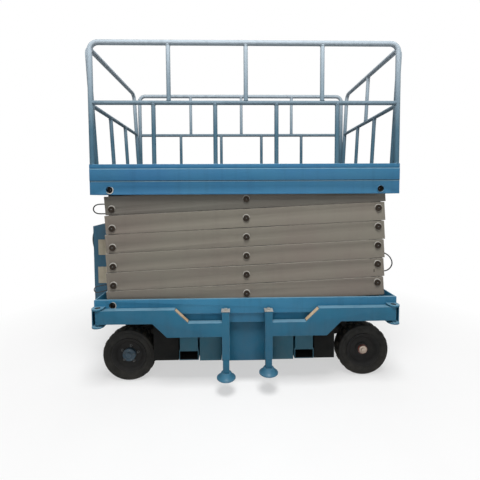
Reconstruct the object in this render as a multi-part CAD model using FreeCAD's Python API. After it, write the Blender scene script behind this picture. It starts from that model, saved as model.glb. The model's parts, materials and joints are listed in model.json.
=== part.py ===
import FreeCAD
import Part
import math
import os
from collections import namedtuple

# A scissor lift with six tiers of arms, stowed, in millimetres.
# +X is the steered end, +Y the far side, +Z up. It is laid out about the middle of
# its chassis, and every piece is then moved along X by origin_shift, so that the origin
# lies on the ground under the middle of the whole machine.

V = FreeCAD.Vector
ORIGIN = V(0, 0, 0)
X_AXIS, Y_AXIS, Z_AXIS = V(1, 0, 0), V(0, 1, 0), V(0, 0, 1)

# Whole machine
machine_width = 1600.0
chassis_length = 2880.0
platform_overhang = 10.0

# Scissor stack
tiers = 6
tier_rise = 181.5
lowest_pin_z = 861.5
pin_inset = 170.0
raised_angle = 57.9
stack_gap = 6.0
arm_width = 80.0
arm_wall = 6.0
arm_end = 65.0
arm_side_gap = 10.0
arm_setback = 45.0
pin_radius = 29.0
pin_end = 12.0
pin_play = 0.09
cross_tube_radius = 38.0
roller_radius = 45.0
running_gap = 0.3

# Chassis side rails, a web and flanges over a box sill
rail_top = 915.0
rail_plate = 8.0
rail_flange = 28.0
rail_web_height = 140.0
sill_bottom = 680.0
sill_height = 60.0
sill_recess = 20.0
sill_width = 195.0
sill_wall = 8.0
end_plate = 10.0
beam_width = 80.0
beam_inset = 80.0
wheel_well_beam_inset = 430.0
inner_beam_inset = 700.0
pin_hole_radius = 31.0

# Roller tracks and pivot lugs
track_wall = 12.0
track_overrun = 60.0
lug_rim = 16.0
lug_setback = 20.0

# Platform
deck_over_pins = 196.5
skirt_height = 242.0
skirt_seam_drop = 110.0
seam_step = 3.0
skirt_plate = 10.0
skirt_lip = 28.0
deck_plate = 8.0
deck_margin = 56.0
deck_frame_depth = 67.0
deck_beam_width = 60.0
deck_beams = 6

# Guard rails
hoop_radius = 24.0
post_radius = 20.0
toe_rail_height = 42.0
guard_height = 1153.0
mid_height = 608.0
hoop_bend = 110.0
hoop_bend_steps = 4
guard_inset = 30.0
hoop_end_inset = 20.0
end_rail_clear = 80.0
end_rail_lean = 2.7
side_posts_above, side_posts_below = 3, 4
end_posts_above, end_posts_below = 1, 2

# Wheels
tyre_radius = 270.0
tyre_width = 160.0
tyre_shoulder = 12.0
lug_height = 10.0
lug_count = 22
lug_share = 0.7
rim_radius = 172.0
rim_wall = 10.0
rim_dish = 40.0
hub_radius = 65.0
wheel_bore = 22.0
wheel_play = 0.09
drive_axle_x = -1200.0
drive_wheel_inset = 212.0
steer_axle_x = 1228.0
steer_wheel_inset = 238.0
axle_depth = 90.0
axle_width = 90.0
kingpin_reach = 57.0
kingpin_radius = 18.0
knuckle_radius = 34.0
axle_end_gap = 30.0

# Outriggers
outrigger_inset = 51.0
outrigger_offset = 40.0
outrigger_width = 70.0
outrigger_heel = 10.5
high_beam_bottom = 711.0
high_beam_height = 128.0
low_beam_height = 131.0
high_beam_reach = 843.0
high_beam_slant = 133.0
low_beam_start = 510.0
low_beam_slant = 133.0
leg_x = 201.0
leg_side = 70.0
leg_top = 818.0
leg_bottom = 364.0
leg_cap_radius = 20.0
leg_cap = 12.0
jack_side = 60.0
jack_play = 0.3
jack_head_gap = 50.0
foot_radius = 90.0
foot_bottom = 168.0
right_foot_lift = 42.0
foot_plate = 12.0
foot_cone = 45.0
foot_rim = 8.0
foot_neck = 46.0
lug_plate = 12.0
lug_gap = 5.0
low_lug_gap = 22.0
lug_plate_half = 55.0
lug_end_plate = 8.0
lug_end_reach = 5.0
hinge_collar_radius = 24.0
hinge_pin_radius = 14.0
hinge_pin_end = 15.0
hinge_recess = 6.0

# Belly
power_half = 245.0
power_setback = 85.0
power_bottom = 267.0
box_gap = 5.0
box_length = 215.0
box_setback = 110.0
box_bottom = 259.0
pocket_gap = 18.0
pocket_width = 176.0
pocket_height = 82.0
pocket_bottom = 279.0
pocket_setback = 100.0
pocket_wall = 8.0
hanger_width = 60.0
tray_gap = 8.0
tray_length = 205.0
tray_setback = 120.0
tray_bottom = 262.0

# Control cabinet
cabinet_depth = 210.0
cabinet_width = 600.0
cabinet_bottom = 620.0
cabinet_top = 1622.0
cabinet_slope = 52.0

# Hoses, with the ferrules that hold their ends
hose_y = 25.0
hose_bend_share = 0.45
ferrule_wall = 4.0
ferrule_length = 30.0
clip_half = 10.0
lead_y = 240.0

# Lift cylinders, each pair between two neighbouring tiers
cylinder_tiers = (1, 4)
cylinder_y = 300.0
foot_share = 0.955
head_share = 0.571
cylinder_offset = 95.0
beam_radius = 30.0
beam_lug = 20.0
beam_lug_gap = 6.0
barrel_radius = 50.0
piston_rod_radius = 32.0
rod_play = 0.1
cylinder_eye = 60.0
barrel_short = 190.0
seat_lip = 18.0
seat_wall = 18.0

# Flat sides of the tubes, rings and tyres, which stay light that way
TUBE_SIDES = 12
POST_SIDES = 8
WHEEL_SIDES = 22

# Places that follow from the sizes above
side_face = machine_width / 2
chassis_half = chassis_length / 2
platform_half = chassis_half + platform_overhang
half_span = chassis_half - pin_inset
pin_span = math.hypot(2 * half_span, tier_rise)
stowed_angle = math.degrees(math.asin(tier_rise / pin_span))
arm_depth = tier_rise * math.cos(math.radians(stowed_angle)) - stack_gap
outer_arm_face = side_face - arm_setback
outer_arm_back = outer_arm_face - arm_width
inner_arm_face = outer_arm_back - arm_side_gap
inner_arm_back = inner_arm_face - arm_width
top_pin_z = lowest_pin_z + tiers * tier_rise
roller_inmost = pin_span * math.cos(math.radians(raised_angle)) - half_span
track_x0 = roller_inmost - track_overrun
track_x1 = half_span + track_overrun
sill_top = sill_bottom + sill_height
sill_inner_face = side_face - sill_recess - sill_width
deck_top = top_pin_z + deck_over_pins
deck_under = deck_top - deck_plate
deck_frame_bottom = deck_under - deck_frame_depth
skirt_bottom = deck_top - skirt_height
guard_y = side_face - guard_inset
hoop_half = platform_half - hoop_end_inset
end_rail_half = guard_y - end_rail_clear
drive_face_y = side_face - drive_wheel_inset
steer_face_y = side_face - steer_wheel_inset
kingpin_y = steer_face_y - tyre_width - kingpin_reach
outrigger_x = chassis_half - outrigger_inset
outrigger_y = side_face + outrigger_offset
high_beam_top = high_beam_bottom + high_beam_height
low_beam_bottom = high_beam_bottom - low_beam_height
high_lug_z = high_beam_top + lug_gap
low_lug_z = high_beam_bottom - low_lug_gap - lug_plate
box_x0 = power_half + box_gap
box_x1 = box_x0 + box_length
pocket_x0 = box_x1 + pocket_gap
pocket_x1 = pocket_x0 + pocket_width
pocket_top = pocket_bottom + pocket_height
tray_x0 = pocket_x1 + pocket_wall + tray_gap
hose_plane = -inner_arm_back + hose_y
cabinet_face = -chassis_half - cabinet_depth


def box(x0, x1, y0, y1, z0, z1):
    """A block between two corners."""
    return Part.makeBox(x1 - x0, y1 - y0, z1 - z0, V(x0, y0, z0))


def end_box(end, x0, x1, y, z0, z1):
    """A block across the machine at one end: end is -1 for the left and 1 for the right."""
    low, high = sorted((end * x0, end * x1))
    return box(low, high, -y, y, z0, z1)


def rod(radius, start, finish):
    """A round bar from one point to another."""
    return Part.makeCylinder(radius, (finish - start).Length, start, finish - start)


def cross_rod(radius, x, z, y0, y1):
    """A round bar along Y."""
    return rod(radius, V(x, y0, z), V(x, y1, z))


def prism(points, move, direction):
    """A flat outline, given as vectors and moved, drawn out along direction."""
    outline = Part.makePolygon([p + move for p in points + points[:1]])
    return Part.Face(outline).extrude(direction)


def section_along_x(points, x0, x1):
    """An outline of (y, z) points drawn out from x0 to x1."""
    return prism([V(0, y, z) for y, z in points], V(x0, 0, 0), V(x1 - x0, 0, 0))


def section_along_y(points, y0, y1):
    """An outline of (x, z) points drawn out from y0 to y1."""
    return prism([V(x, 0, z) for x, z in points], V(0, y0, 0), V(0, y1 - y0, 0))


def ring_points(radius, sides):
    """Corners of a regular outline, as (u, v) pairs with a flat side to the right."""
    angles = [2 * math.pi * (n + 0.5) / sides for n in range(sides)]
    return [(radius * math.cos(a), radius * math.sin(a)) for a in angles]


def flat_sided_bar(radius, sides, start, finish):
    """A bar with flat sides between two points, its corners at radius."""
    points = [V(u, v, 0) for u, v in ring_points(radius, sides)]
    bar = prism(points, ORIGIN, V(0, 0, (finish - start).Length))
    turn = FreeCAD.Rotation(Z_AXIS, finish - start)
    bar.Placement = FreeCAD.Placement(start, turn)
    return bar


def flat_sided_ring(profile, sides):
    """A ring about the Y axis with flat sides, from a closed profile of (radius, y) points."""
    count = len(profile)
    rings = [[V(u, y, v) for u, v in ring_points(r, sides)] for r, y in profile]
    faces = []
    for n in range(count):
        ring, following = rings[n], rings[(n + 1) % count]
        for s in range(sides):
            t = (s + 1) % sides
            corners = [ring[s], ring[t], following[t], following[s], ring[s]]
            faces.append(Part.Face(Part.makePolygon(corners)))
    solid = Part.Solid(Part.Shell(faces))
    solid.fix(0.01, 0.01, 0.01)
    return solid if solid.Volume > 0 else solid.reversed()


def far_side(shape):
    """The same piece on the other side, across the middle plane."""
    return shape.mirror(ORIGIN, Y_AXIS)


def other_end(shape):
    """The same piece at the other end of the machine."""
    return shape.mirror(ORIGIN, X_AXIS)


def both_sides(shape):
    """A piece with its mirror image on the far side."""
    return [shape, far_side(shape)]


def fused(shapes):
    """Several touching pieces as one."""
    first, *rest = shapes
    return first.fuse(rest).removeSplitter()


def pin_z(level):
    """Height of the arms' end pins: level 0 is on the chassis, level tiers is under the deck."""
    return lowest_pin_z + level * tier_rise


def sloped(shape, x, z, angle):
    """A piece drawn along +X from the origin, turned up by angle and set at x, z."""
    shape.rotate(ORIGIN, Y_AXIS, -angle)
    shape.translate(V(x, 0, z))
    return shape


def arm_beam(y_face):
    """A hollow arm along +X from its first pin, squared off past its end pins."""
    y_back = y_face + arm_width
    half_depth = arm_depth / 2
    arm = box(-arm_end, pin_span + arm_end, y_face, y_back, -half_depth, half_depth)
    cells = [
        box(x + arm_end, x + pin_span / 2 - arm_end, y_face + arm_wall, y_back - arm_wall,
            -half_depth + arm_wall, half_depth - arm_wall)
        for x in (0, pin_span / 2)
    ]
    return arm.cut(cells)


def outer_arms(tier):
    """The two outer arms of a tier, rising to the right, bored for all their pins."""
    arm = arm_beam(-outer_arm_face)
    bores = [
        cross_rod(pin_radius + pin_play, x, 0, -outer_arm_face - 1, -outer_arm_back + 1)
        for x in (0, pin_span / 2, pin_span)
    ]
    return both_sides(sloped(arm.cut(bores), -half_span, pin_z(tier - 1), stowed_angle))


def inner_arms(tier):
    """The two inner arms of a tier, rising to the left."""
    return both_sides(sloped(arm_beam(-inner_arm_face), -half_span, pin_z(tier), -stowed_angle))


def pin_stub(x, z):
    """A pin welded to the near inner arm, out through the outer arm beside it."""
    return cross_rod(pin_radius, x, z, -outer_arm_face - pin_end, -inner_arm_face)


def cross_tube(x, z):
    """A tube between the inner arms, in line with their pins."""
    start, finish = V(x, -inner_arm_back, z), V(x, inner_arm_back, z)
    return flat_sided_bar(cross_tube_radius, TUBE_SIDES, start, finish)


def roller(x, z, y0, y1):
    """A guide roller between two planes, bored for its pin."""
    bore = cross_rod(pin_radius + pin_play, x, z, y0 - 1, y1 + 1)
    return cross_rod(roller_radius, x, z, y0, y1).cut(bore)


def cross_shafts(tier):
    """The pins and tubes that turn with the inner arms of a tier."""
    low, high = pin_z(tier - 1), pin_z(tier)
    shapes = [cross_tube(half_span, low)]
    if tier not in cylinder_tiers:
        shapes.append(cross_tube(-half_span, high))
    for x, z in ((half_span, low), (0, (low + high) / 2), (-half_span, high)):
        shapes += both_sides(pin_stub(x, z))
    if tier == 1:
        shapes += both_sides(roller(half_span, low, -outer_arm_face, -outer_arm_back))
    for hose in (UPPER_LEFT_HOSE, LOWER_LEFT_HOSE, RIGHT_HOSE):
        if hose.tier == tier:
            shapes += ferrules(hose)
    return shapes


def top_rollers():
    """The pins and rollers of the top outer arms, which run under the platform."""
    pin = cross_rod(
        pin_radius, half_span, top_pin_z, -outer_arm_face - pin_end, -inner_arm_back,
    )
    wheel = roller(half_span, top_pin_z, -inner_arm_face, -inner_arm_back)
    return both_sides(pin) + both_sides(wheel)


def inner_point(tier, share, offset):
    """Where a point of an inner arm stands: share of its length from the lower pin, offset over it."""
    angle = math.radians(stowed_angle)
    x = half_span - share * pin_span * math.cos(angle) + offset * math.sin(angle)
    z = pin_z(tier - 1) + share * pin_span * math.sin(angle) + offset * math.cos(angle)
    return x, z


def cylinder_vector(angle):
    """A cylinder's foot to its head, as (x, z), with the arms at an angle in radians."""
    along = (foot_share - head_share) * pin_span
    x = along * math.cos(angle) + 2 * cylinder_offset * math.sin(angle)
    z = (1 + head_share - foot_share) * pin_span * math.sin(angle)
    return x, z + 2 * cylinder_offset * math.cos(angle)


def lift_beam(tier, share, offset):
    """A beam between the inner arms for a pair of cylinders, lugged to both arms."""
    x, z = inner_point(tier, share, offset)
    root_x, root_z = inner_point(tier, share, 0)
    face = -inner_arm_back + beam_lug_gap
    tube = cross_rod(beam_radius, x, z, face, -face)
    reach = beam_radius + seat_wall
    low, high = sorted((z + math.copysign(reach, offset), root_z))
    lug = box(x - reach, x + reach, face, face + beam_lug, low, high)
    pad_edge = root_z + math.copysign(arm_depth / 2 - beam_lug, offset)
    low, high = sorted((pad_edge, root_z))
    pad = box(x - reach, x + reach, -inner_arm_back, face, low, high)
    return fused([tube] + both_sides(lug) + both_sides(pad))


def lift_beams(tier):
    """The cylinder beam that a tier's inner arms carry, if it has one."""
    shapes = []
    if tier in cylinder_tiers:
        shapes.append(lift_beam(tier, foot_share, -cylinder_offset))
    if tier - 1 in cylinder_tiers:
        shapes.append(lift_beam(tier, head_share, cylinder_offset))
    return shapes


def place_cylinder(shape, tier):
    """Sets a piece drawn along +X with its foot on the beam of its tier."""
    x, z = inner_point(tier, foot_share, -cylinder_offset)
    dx, dz = cylinder_vector(math.radians(stowed_angle))
    return sloped(shape, x, z, math.degrees(math.atan2(dz, dx)))


def barrels(tier):
    """A pair of cylinder barrels, each with the eye that turns on its beam."""
    length = math.hypot(*cylinder_vector(math.radians(stowed_angle)))
    y0, y1 = -cylinder_y - cylinder_eye / 2, -cylinder_y + cylinder_eye / 2
    eye_end = beam_radius + seat_wall
    tube = rod(barrel_radius, V(eye_end, -cylinder_y, 0), V(length - barrel_short, -cylinder_y, 0))
    eye = box(-eye_end, eye_end, y0, y1, -eye_end, eye_end)
    bore = rod(piston_rod_radius + rod_play, V(barrel_short, -cylinder_y, 0), V(length, -cylinder_y, 0))
    hole = cross_rod(beam_radius + pin_play, 0, 0, y0 - 1, y1 + 1)
    return both_sides(place_cylinder(fused([tube, eye]).cut([bore, hole]), tier))


def piston_rods(tier):
    """A pair of piston rods, each ending in an open seat under the next tier's beam."""
    length = math.hypot(*cylinder_vector(math.radians(stowed_angle)))
    y0, y1 = -cylinder_y - cylinder_eye / 2, -cylinder_y + cylinder_eye / 2
    seat_radius = beam_radius + running_gap
    back = length - seat_radius - seat_wall
    bar = rod(piston_rod_radius, V(barrel_short + 1, -cylinder_y, 0), V(back + 1, -cylinder_y, 0))
    under = -seat_radius - seat_wall
    head = section_along_y([
        (back, under), (length + seat_radius, under), (length + seat_radius, -seat_lip),
        (length, -seat_lip), (length, 0), (length - seat_radius - stack_gap, 0),
        (length - seat_radius - stack_gap, piston_rod_radius), (back, piston_rod_radius),
    ], y0, y1)
    seat = cross_rod(seat_radius, length, 0, y0 - 1, y1 + 1)
    return both_sides(place_cylinder(fused([bar, head.cut(seat)]), tier))


def side_rails():
    """The two chassis side rails, each one bent section over its box sill."""
    face = -side_face
    recess = face + sill_recess
    web_bottom = rail_top - rail_web_height
    t = rail_plate
    section = [
        (face, web_bottom), (face, rail_top),
        (face + rail_flange, rail_top), (face + rail_flange, rail_top - t),
        (face + t, rail_top - t), (face + t, web_bottom + t),
        (recess + t, web_bottom + t), (recess + t, sill_top),
        (-sill_inner_face, sill_top), (-sill_inner_face, sill_bottom),
        (recess, sill_bottom), (recess, web_bottom),
    ]
    half = chassis_half - end_plate
    rail = section_along_x(section, -half, half)
    hollow = box(
        -half, half, recess + sill_wall, -sill_inner_face - sill_wall,
        sill_bottom + sill_wall, sill_top - sill_wall,
    )
    hole = cross_rod(pin_hole_radius, -half_span, lowest_pin_z, face - 1, face + t + 1)
    return both_sides(rail.cut([hollow, hole]))


def end_wall(end):
    """The plate across one end of the chassis."""
    return end_box(end, chassis_half - end_plate, chassis_half, side_face, sill_bottom, rail_top)


def cross_beams():
    """The end plates and the hollow cross members between the sills."""
    half = chassis_half
    shapes = []
    for end in (-1, 1):
        shapes.append(end_wall(end))
        for inset in (beam_inset, wheel_well_beam_inset, inner_beam_inset):
            x = half - inset
            y = sill_inner_face
            w = beam_width / 2
            beam = end_box(end, x - w, x + w, y, sill_bottom, sill_top)
            w -= sill_wall
            z0, z1 = sill_bottom + sill_wall, sill_top - sill_wall
            shapes.append(beam.cut(end_box(end, x - w, x + w, y, z0, z1)))
    return shapes


def pivot_lug(x, z, root_z, y0, y1):
    """A lug from root_z to a pin at x, z, with chamfered corners and a bore."""
    r = pin_radius + lug_rim
    tip = math.copysign(r, z - root_z)
    outline = [
        (x - r, root_z), (x + r, root_z), (x + r, z), (x + r / 2, z + tip),
        (x - r / 2, z + tip), (x - r, z),
    ]
    bore = cross_rod(pin_radius + pin_play, x, z, y0 - 1, y1 + 1)
    return section_along_y(outline, y0, y1).cut(bore)


def track(y0, y1, base_z, rolling_z):
    """A channel from its base to the plate that a roller runs on."""
    inner = rolling_z - math.copysign(track_wall, rolling_z - base_z)
    section = [
        (y0, base_z), (y0, rolling_z), (y1, rolling_z), (y1, base_z),
        (y1 - track_wall, base_z), (y1 - track_wall, inner),
        (y0 + track_wall, inner), (y0 + track_wall, base_z),
    ]
    return section_along_x(section, track_x0, track_x1)


def arm_seats():
    """On the chassis: pivot lugs with their pins, and tracks for the first rollers."""
    x, z = -half_span, lowest_pin_z
    y_inner = -inner_arm_back - lug_setback
    lug = pivot_lug(x, z, sill_top, -inner_arm_face, y_inner)
    pin = cross_rod(pin_radius, x, z, -outer_arm_face - pin_end, y_inner)
    rolling_z = lowest_pin_z - roller_radius - running_gap
    rail = track(-outer_arm_face, -outer_arm_back, sill_top, rolling_z)
    return both_sides(lug) + both_sides(pin) + both_sides(rail)


def skirt():
    """The near side skirt, with its seam, lip, top flange and two pin holes."""
    face = -side_face
    half = platform_half
    seam_z = deck_top - skirt_seam_drop
    t = skirt_plate
    section = [
        (face + seam_step, skirt_bottom), (face + seam_step, seam_z), (face, seam_z),
        (face, deck_top), (face + deck_margin, deck_top), (face + deck_margin, deck_under),
        (face + t, deck_under), (face + t, skirt_bottom + t),
        (face + skirt_lip, skirt_bottom + t), (face + skirt_lip, skirt_bottom),
    ]
    holes = [
        cross_rod(pin_hole_radius, x, top_pin_z, face - 1, face + t + 1)
        for x in (-half_span, half_span)
    ]
    return section_along_x(section, -half, half).cut(holes)


def platform_frame():
    """Skirts, end skirts, deck beams, pivot lugs and roller tracks, welded into one frame."""
    half = platform_half
    shapes = both_sides(skirt())
    for end in (-1, 1):
        y = side_face - skirt_plate
        shapes.append(end_box(end, half - skirt_plate, half, y, skirt_bottom, deck_under))
        y = side_face - deck_margin
        shapes.append(end_box(end, half - deck_margin, half, y, deck_under, deck_top))
    y0, y1 = -outer_arm_face, -inner_arm_back
    inner = half - skirt_plate
    wall = rail_plate
    beam = box(-inner, inner, y0, y1, deck_frame_bottom, deck_under)
    hollow = box(
        -inner, inner, y0 + wall, y1 - wall, deck_frame_bottom + wall, deck_under - wall,
    )
    lug = pivot_lug(-half_span, top_pin_z, deck_frame_bottom, y0, -outer_arm_back)
    rolling_z = top_pin_z + roller_radius + running_gap
    rail = track(-inner_arm_face, y1, deck_frame_bottom, rolling_z)
    shapes += both_sides(fused([beam.cut(hollow), lug, rail]))
    pitch = 2 * half / deck_beams
    for n in range(deck_beams):
        x = -half + (n + 0.5) * pitch
        w = deck_beam_width / 2
        shapes.append(box(x - w, x + w, y1, -y1, deck_frame_bottom, deck_under))
    return [fused(shapes)]


def deck():
    """The deck sheet, set inside the feet of the guard rails."""
    x = platform_half - deck_margin
    y = side_face - deck_margin
    return [box(-x, x, -y, y, deck_under, deck_top)]


def hoop_path(half_length, foot_z, top_z):
    """Corner points of a hoop in the XZ plane, its two bends in short straight steps."""
    points = [(-half_length, foot_z)]
    for side in (-1, 1):
        centre = side * (half_length - hoop_bend)
        for n in range(hoop_bend_steps + 1):
            step = n if side < 0 else hoop_bend_steps - n
            angle = math.pi / 2 * step / hoop_bend_steps
            points.append((
                centre + side * hoop_bend * math.cos(angle),
                top_z - hoop_bend + hoop_bend * math.sin(angle),
            ))
    points.append((half_length, foot_z))
    return [V(x, 0, z) for x, z in points]


def hoop(half_length, foot_z, top_z):
    """A bent tube up one post, along the top and down the other post."""
    points = hoop_path(half_length, foot_z, top_z)
    outline = [V(u, v, 0) + points[0] for u, v in ring_points(hoop_radius, TUBE_SIDES)]
    path = Part.makePolygon(points)
    ring = Part.makePolygon(outline + outline[:1])
    mitred_corners = 1
    return path.makePipeShell([ring], True, False, mitred_corners)


def hoop_tubes(half_length):
    """The hoop cut where its straight tubes meet its two bends."""
    whole = hoop(half_length, toe_rail_height, guard_height)
    bend_z = guard_height - hoop_bend
    bend_x = half_length - hoop_bend
    reach = half_length + hoop_radius
    width = hoop_radius
    head = guard_height + hoop_radius
    zones = [box(-bend_x, bend_x, -width, width, bend_z, head)]
    for end in (-1, 1):
        zones.append(end_box(end, 0, reach, width, toe_rail_height, bend_z))
        zones.append(end_box(end, bend_x, reach, width, bend_z, head))
    return [whole.common(zone) for zone in zones]


def guard_panel(half_length, posts_above, posts_below):
    """The tubes of a guard-rail panel in the XZ plane, standing on z = 0, end to end."""
    reach = half_length + hoop_radius
    tubes = hoop_tubes(half_length)
    middle = flat_sided_bar(
        post_radius, POST_SIDES, V(-half_length, 0, mid_height), V(half_length, 0, mid_height),
    ).cut(tubes)
    posts = []
    # foot of each row of posts, its head, and how many posts it has
    rows = [
        (toe_rail_height, mid_height, posts_below),
        (mid_height, guard_height, posts_above),
    ]
    for z0, z1, count in rows:
        for n in range(1, count + 1):
            x = half_length * (2 * n / (count + 1) - 1)
            post = flat_sided_bar(post_radius, POST_SIDES, V(x, 0, z0), V(x, 0, z1))
            posts.append(post.cut(tubes + [middle]))
    toe_rail = box(-reach, reach, -hoop_radius, hoop_radius, 0, toe_rail_height)
    return tubes + [middle, toe_rail] + posts


def side_panel():
    """The near guard rail."""
    tubes = guard_panel(hoop_half, side_posts_above, side_posts_below)
    for tube in tubes:
        tube.translate(V(0, -guard_y, deck_top))
    return tubes


def end_panel():
    """The guard rail of the right-hand end, leaning outward and cut level at its foot."""
    below = box(-guard_height, guard_height, -side_face, side_face, -guard_height, 0)
    tubes = []
    for tube in guard_panel(end_rail_half, end_posts_above, end_posts_below):
        tube.rotate(ORIGIN, Z_AXIS, 90)
        tube.rotate(V(-hoop_radius, 0, 0), Y_AXIS, end_rail_lean)
        tube = tube.cut(below)
        tube.translate(V(hoop_half, 0, deck_top))
        tubes.append(tube)
    return tubes


def tyre(x, y_face):
    """A tyre on the near side, with two staggered rows of tread lugs out to its full radius."""
    half = tyre_width / 2
    tread = tyre_radius - lug_height
    shoulder = tread - tyre_shoulder
    body = flat_sided_ring([
        (rim_radius, -half + rim_wall), (shoulder, -half), (tread, -half + tyre_shoulder),
        (tread, half - tyre_shoulder), (shoulder, half), (rim_radius, half - rim_wall),
    ], WHEEL_SIDES)
    pitch = 360.0 / lug_count
    half_lug = math.radians(lug_share * pitch / 2)
    lug_width = 2 * tyre_radius * math.sin(half_lug)
    lug_top = tyre_radius * math.cos(half_lug)
    blocks = [body]
    for row, turn in ((-1, 0.25), (1, 0.75)):
        y0, y1 = sorted((row * stack_gap, row * (half - rim_wall)))
        block = box(-lug_width / 2, lug_width / 2, y0, y1, shoulder, lug_top)
        for n in range(lug_count):
            lug = block.copy()
            lug.rotate(ORIGIN, Y_AXIS, (n + turn) * pitch)
            blocks.append(lug)
    shape = fused(blocks)
    shape.translate(V(x, -y_face + half, tyre_radius))
    return shape


def rim(x, y_face):
    """A dished rim with its hub, on the near side."""
    half = tyre_width / 2
    dish = half - rim_dish
    outer = rim_radius - running_gap
    inner = outer - rim_wall
    disc = flat_sided_ring([
        (hub_radius / 2, -half), (hub_radius, -half), (hub_radius, -dish), (inner, -dish),
        (inner, -half + rim_wall), (outer, -half + rim_wall), (outer, half - rim_wall),
        (inner, half - rim_wall), (inner, -dish + rim_wall), (hub_radius / 2, -dish + rim_wall),
    ], WHEEL_SIDES)
    hub = flat_sided_bar(hub_radius / 2 + 1, WHEEL_SIDES, V(0, -half, 0), V(0, half, 0))
    bore = cross_rod(wheel_bore, 0, 0, -half - 1, half + 1)
    shape = fused([disc, hub]).cut(bore)
    shape.translate(V(x, -y_face + half, tyre_radius))
    return shape


def axle_stub(x, y_face, y_root):
    """The round end of an axle, from its root out to the near wheel's outer face."""
    return cross_rod(wheel_bore - wheel_play, x, tyre_radius, -y_face, y_root)


def axle_hanger(x, y0, y1, beam_half, spread):
    """A plate that hangs an axle beam from the chassis."""
    z = tyre_radius + axle_depth / 2
    return section_along_y([
        (x - beam_half, z), (x + beam_half, z),
        (x + spread, sill_bottom), (x - spread, sill_bottom),
    ], y0, y1)


def drive_axle():
    """The axle of the fixed wheels, with its hangers and its two round ends."""
    x, z = drive_axle_x, tyre_radius
    w, d = axle_width / 2, axle_depth / 2
    root = -(drive_face_y - tyre_width) + axle_end_gap
    beam = box(x - w, x + w, root, -root, z - d, z + d)
    hanger = axle_hanger(x, root, root + axle_end_gap, w, 1.5 * axle_width)
    stub = axle_stub(x, drive_face_y, root)
    return [fused([beam] + both_sides(stub) + both_sides(hanger))]


def steer_axle():
    """The beam between the steering knuckles, with its jaws, kingpins and hangers."""
    x, z = steer_axle_x, tyre_radius
    w, d = axle_width / 2, axle_depth / 2
    inner = -kingpin_y + knuckle_radius + lug_gap
    beam = box(x - w, x + w, inner, -inner, z - d, z + d)
    jaws = [
        box(x - knuckle_radius, x + knuckle_radius, -kingpin_y - knuckle_radius, inner, z0, z0 + lug_plate)
        for z0 in (z - d, z + d - lug_plate)
    ]
    pin = rod(kingpin_radius - pin_play, V(x, -kingpin_y, z - d), V(x, -kingpin_y, z + d))
    hanger = axle_hanger(x, inner + axle_end_gap, inner + 2 * axle_end_gap, w, 1.2 * axle_width)
    end = fused(jaws + [pin, hanger])
    return [fused([beam] + both_sides(end))]


def knuckle():
    """The near steering knuckle, bored for its kingpin, with its round axle end."""
    x, z = steer_axle_x, tyre_radius
    d = axle_depth / 2 - lug_plate - running_gap
    y = -kingpin_y
    block = flat_sided_bar(knuckle_radius, TUBE_SIDES, V(x, y, z - d), V(x, y, z + d))
    bore = rod(kingpin_radius, V(x, y, z - d - 1), V(x, y, z + d + 1))
    return fused([block, axle_stub(x, steer_face_y, y)]).cut(bore)


def lug_outline(x, y, root, z):
    """A rounded plate around a hinge at x, y, from its root on the side rail."""
    r = lug_plate_half
    tip = [V(x + u, y + v, z) for u, v in ring_points(r, TUBE_SIDES) if v < 0]
    return [V(x - r, root, z), V(x - r, y, z)] + tip + [V(x + r, y, z), V(x + r, root, z)]


def outrigger_brackets():
    """The four corner brackets: two rounded lugs, an end plate, and a collared hinge pin."""
    x, y = -outrigger_x, -outrigger_y
    top = high_lug_z + lug_plate
    pin_top = top - hinge_recess
    pin = rod(hinge_pin_radius, V(x, y, low_lug_z - hinge_pin_end), V(x, y, pin_top))
    collar = rod(hinge_collar_radius, V(x, y, low_lug_z), V(x, y, high_beam_bottom - running_gap))
    recess = rod(hinge_collar_radius, V(x, y, pin_top), V(x, y, top + 1))
    outer = x - lug_plate_half
    upright = box(
        outer, outer + lug_end_plate, y - lug_end_reach, -side_face, low_lug_z, top,
    )
    pieces = [pin, collar, upright]
    for z, root in ((low_lug_z, -side_face + sill_recess), (high_lug_z, -side_face)):
        pieces.append(prism(lug_outline(x, y, root, z), ORIGIN, V(0, 0, lug_plate)))
    near = fused(pieces).cut([recess, end_wall(-1)])
    return both_sides(near) + both_sides(other_end(near))


def outrigger_arm():
    """The near left outrigger: a stepped box beam hinged at its root, with a leg sleeve."""
    x, y = -outrigger_x, -outrigger_y
    half_width = outrigger_width / 2
    y0, y1 = y - half_width, y + half_width
    half = leg_side / 2
    leg_near = -leg_x - half
    heel = x - outrigger_heel
    high_end = x + high_beam_reach
    high = section_along_y([
        (heel, high_beam_bottom), (high_end, high_beam_bottom),
        (high_end - high_beam_slant, high_beam_top), (heel, high_beam_top),
    ], y0, y1)
    low_start = x + low_beam_start
    low = section_along_y([
        (low_start + low_beam_slant, low_beam_bottom), (leg_near, low_beam_bottom),
        (leg_near, high_beam_bottom), (low_start, high_beam_bottom),
    ], y0, y1)
    sleeve = box(leg_near, -leg_x + half, y - half, y + half, leg_bottom, leg_top)
    cap = flat_sided_bar(leg_cap_radius, 6, V(-leg_x, y, leg_top), V(-leg_x, y, leg_top + leg_cap))
    arm = fused([high, low, sleeve, cap])
    s = jack_side / 2 + jack_play
    bore = box(-leg_x - s, -leg_x + s, y - s, y + s, leg_bottom - 1, leg_top - leg_cap)
    hinge = rod(hinge_pin_radius + pin_play, V(x, y, high_beam_bottom - 1), V(x, y, high_beam_top + 1))
    return arm.cut([bore, hinge])


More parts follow.
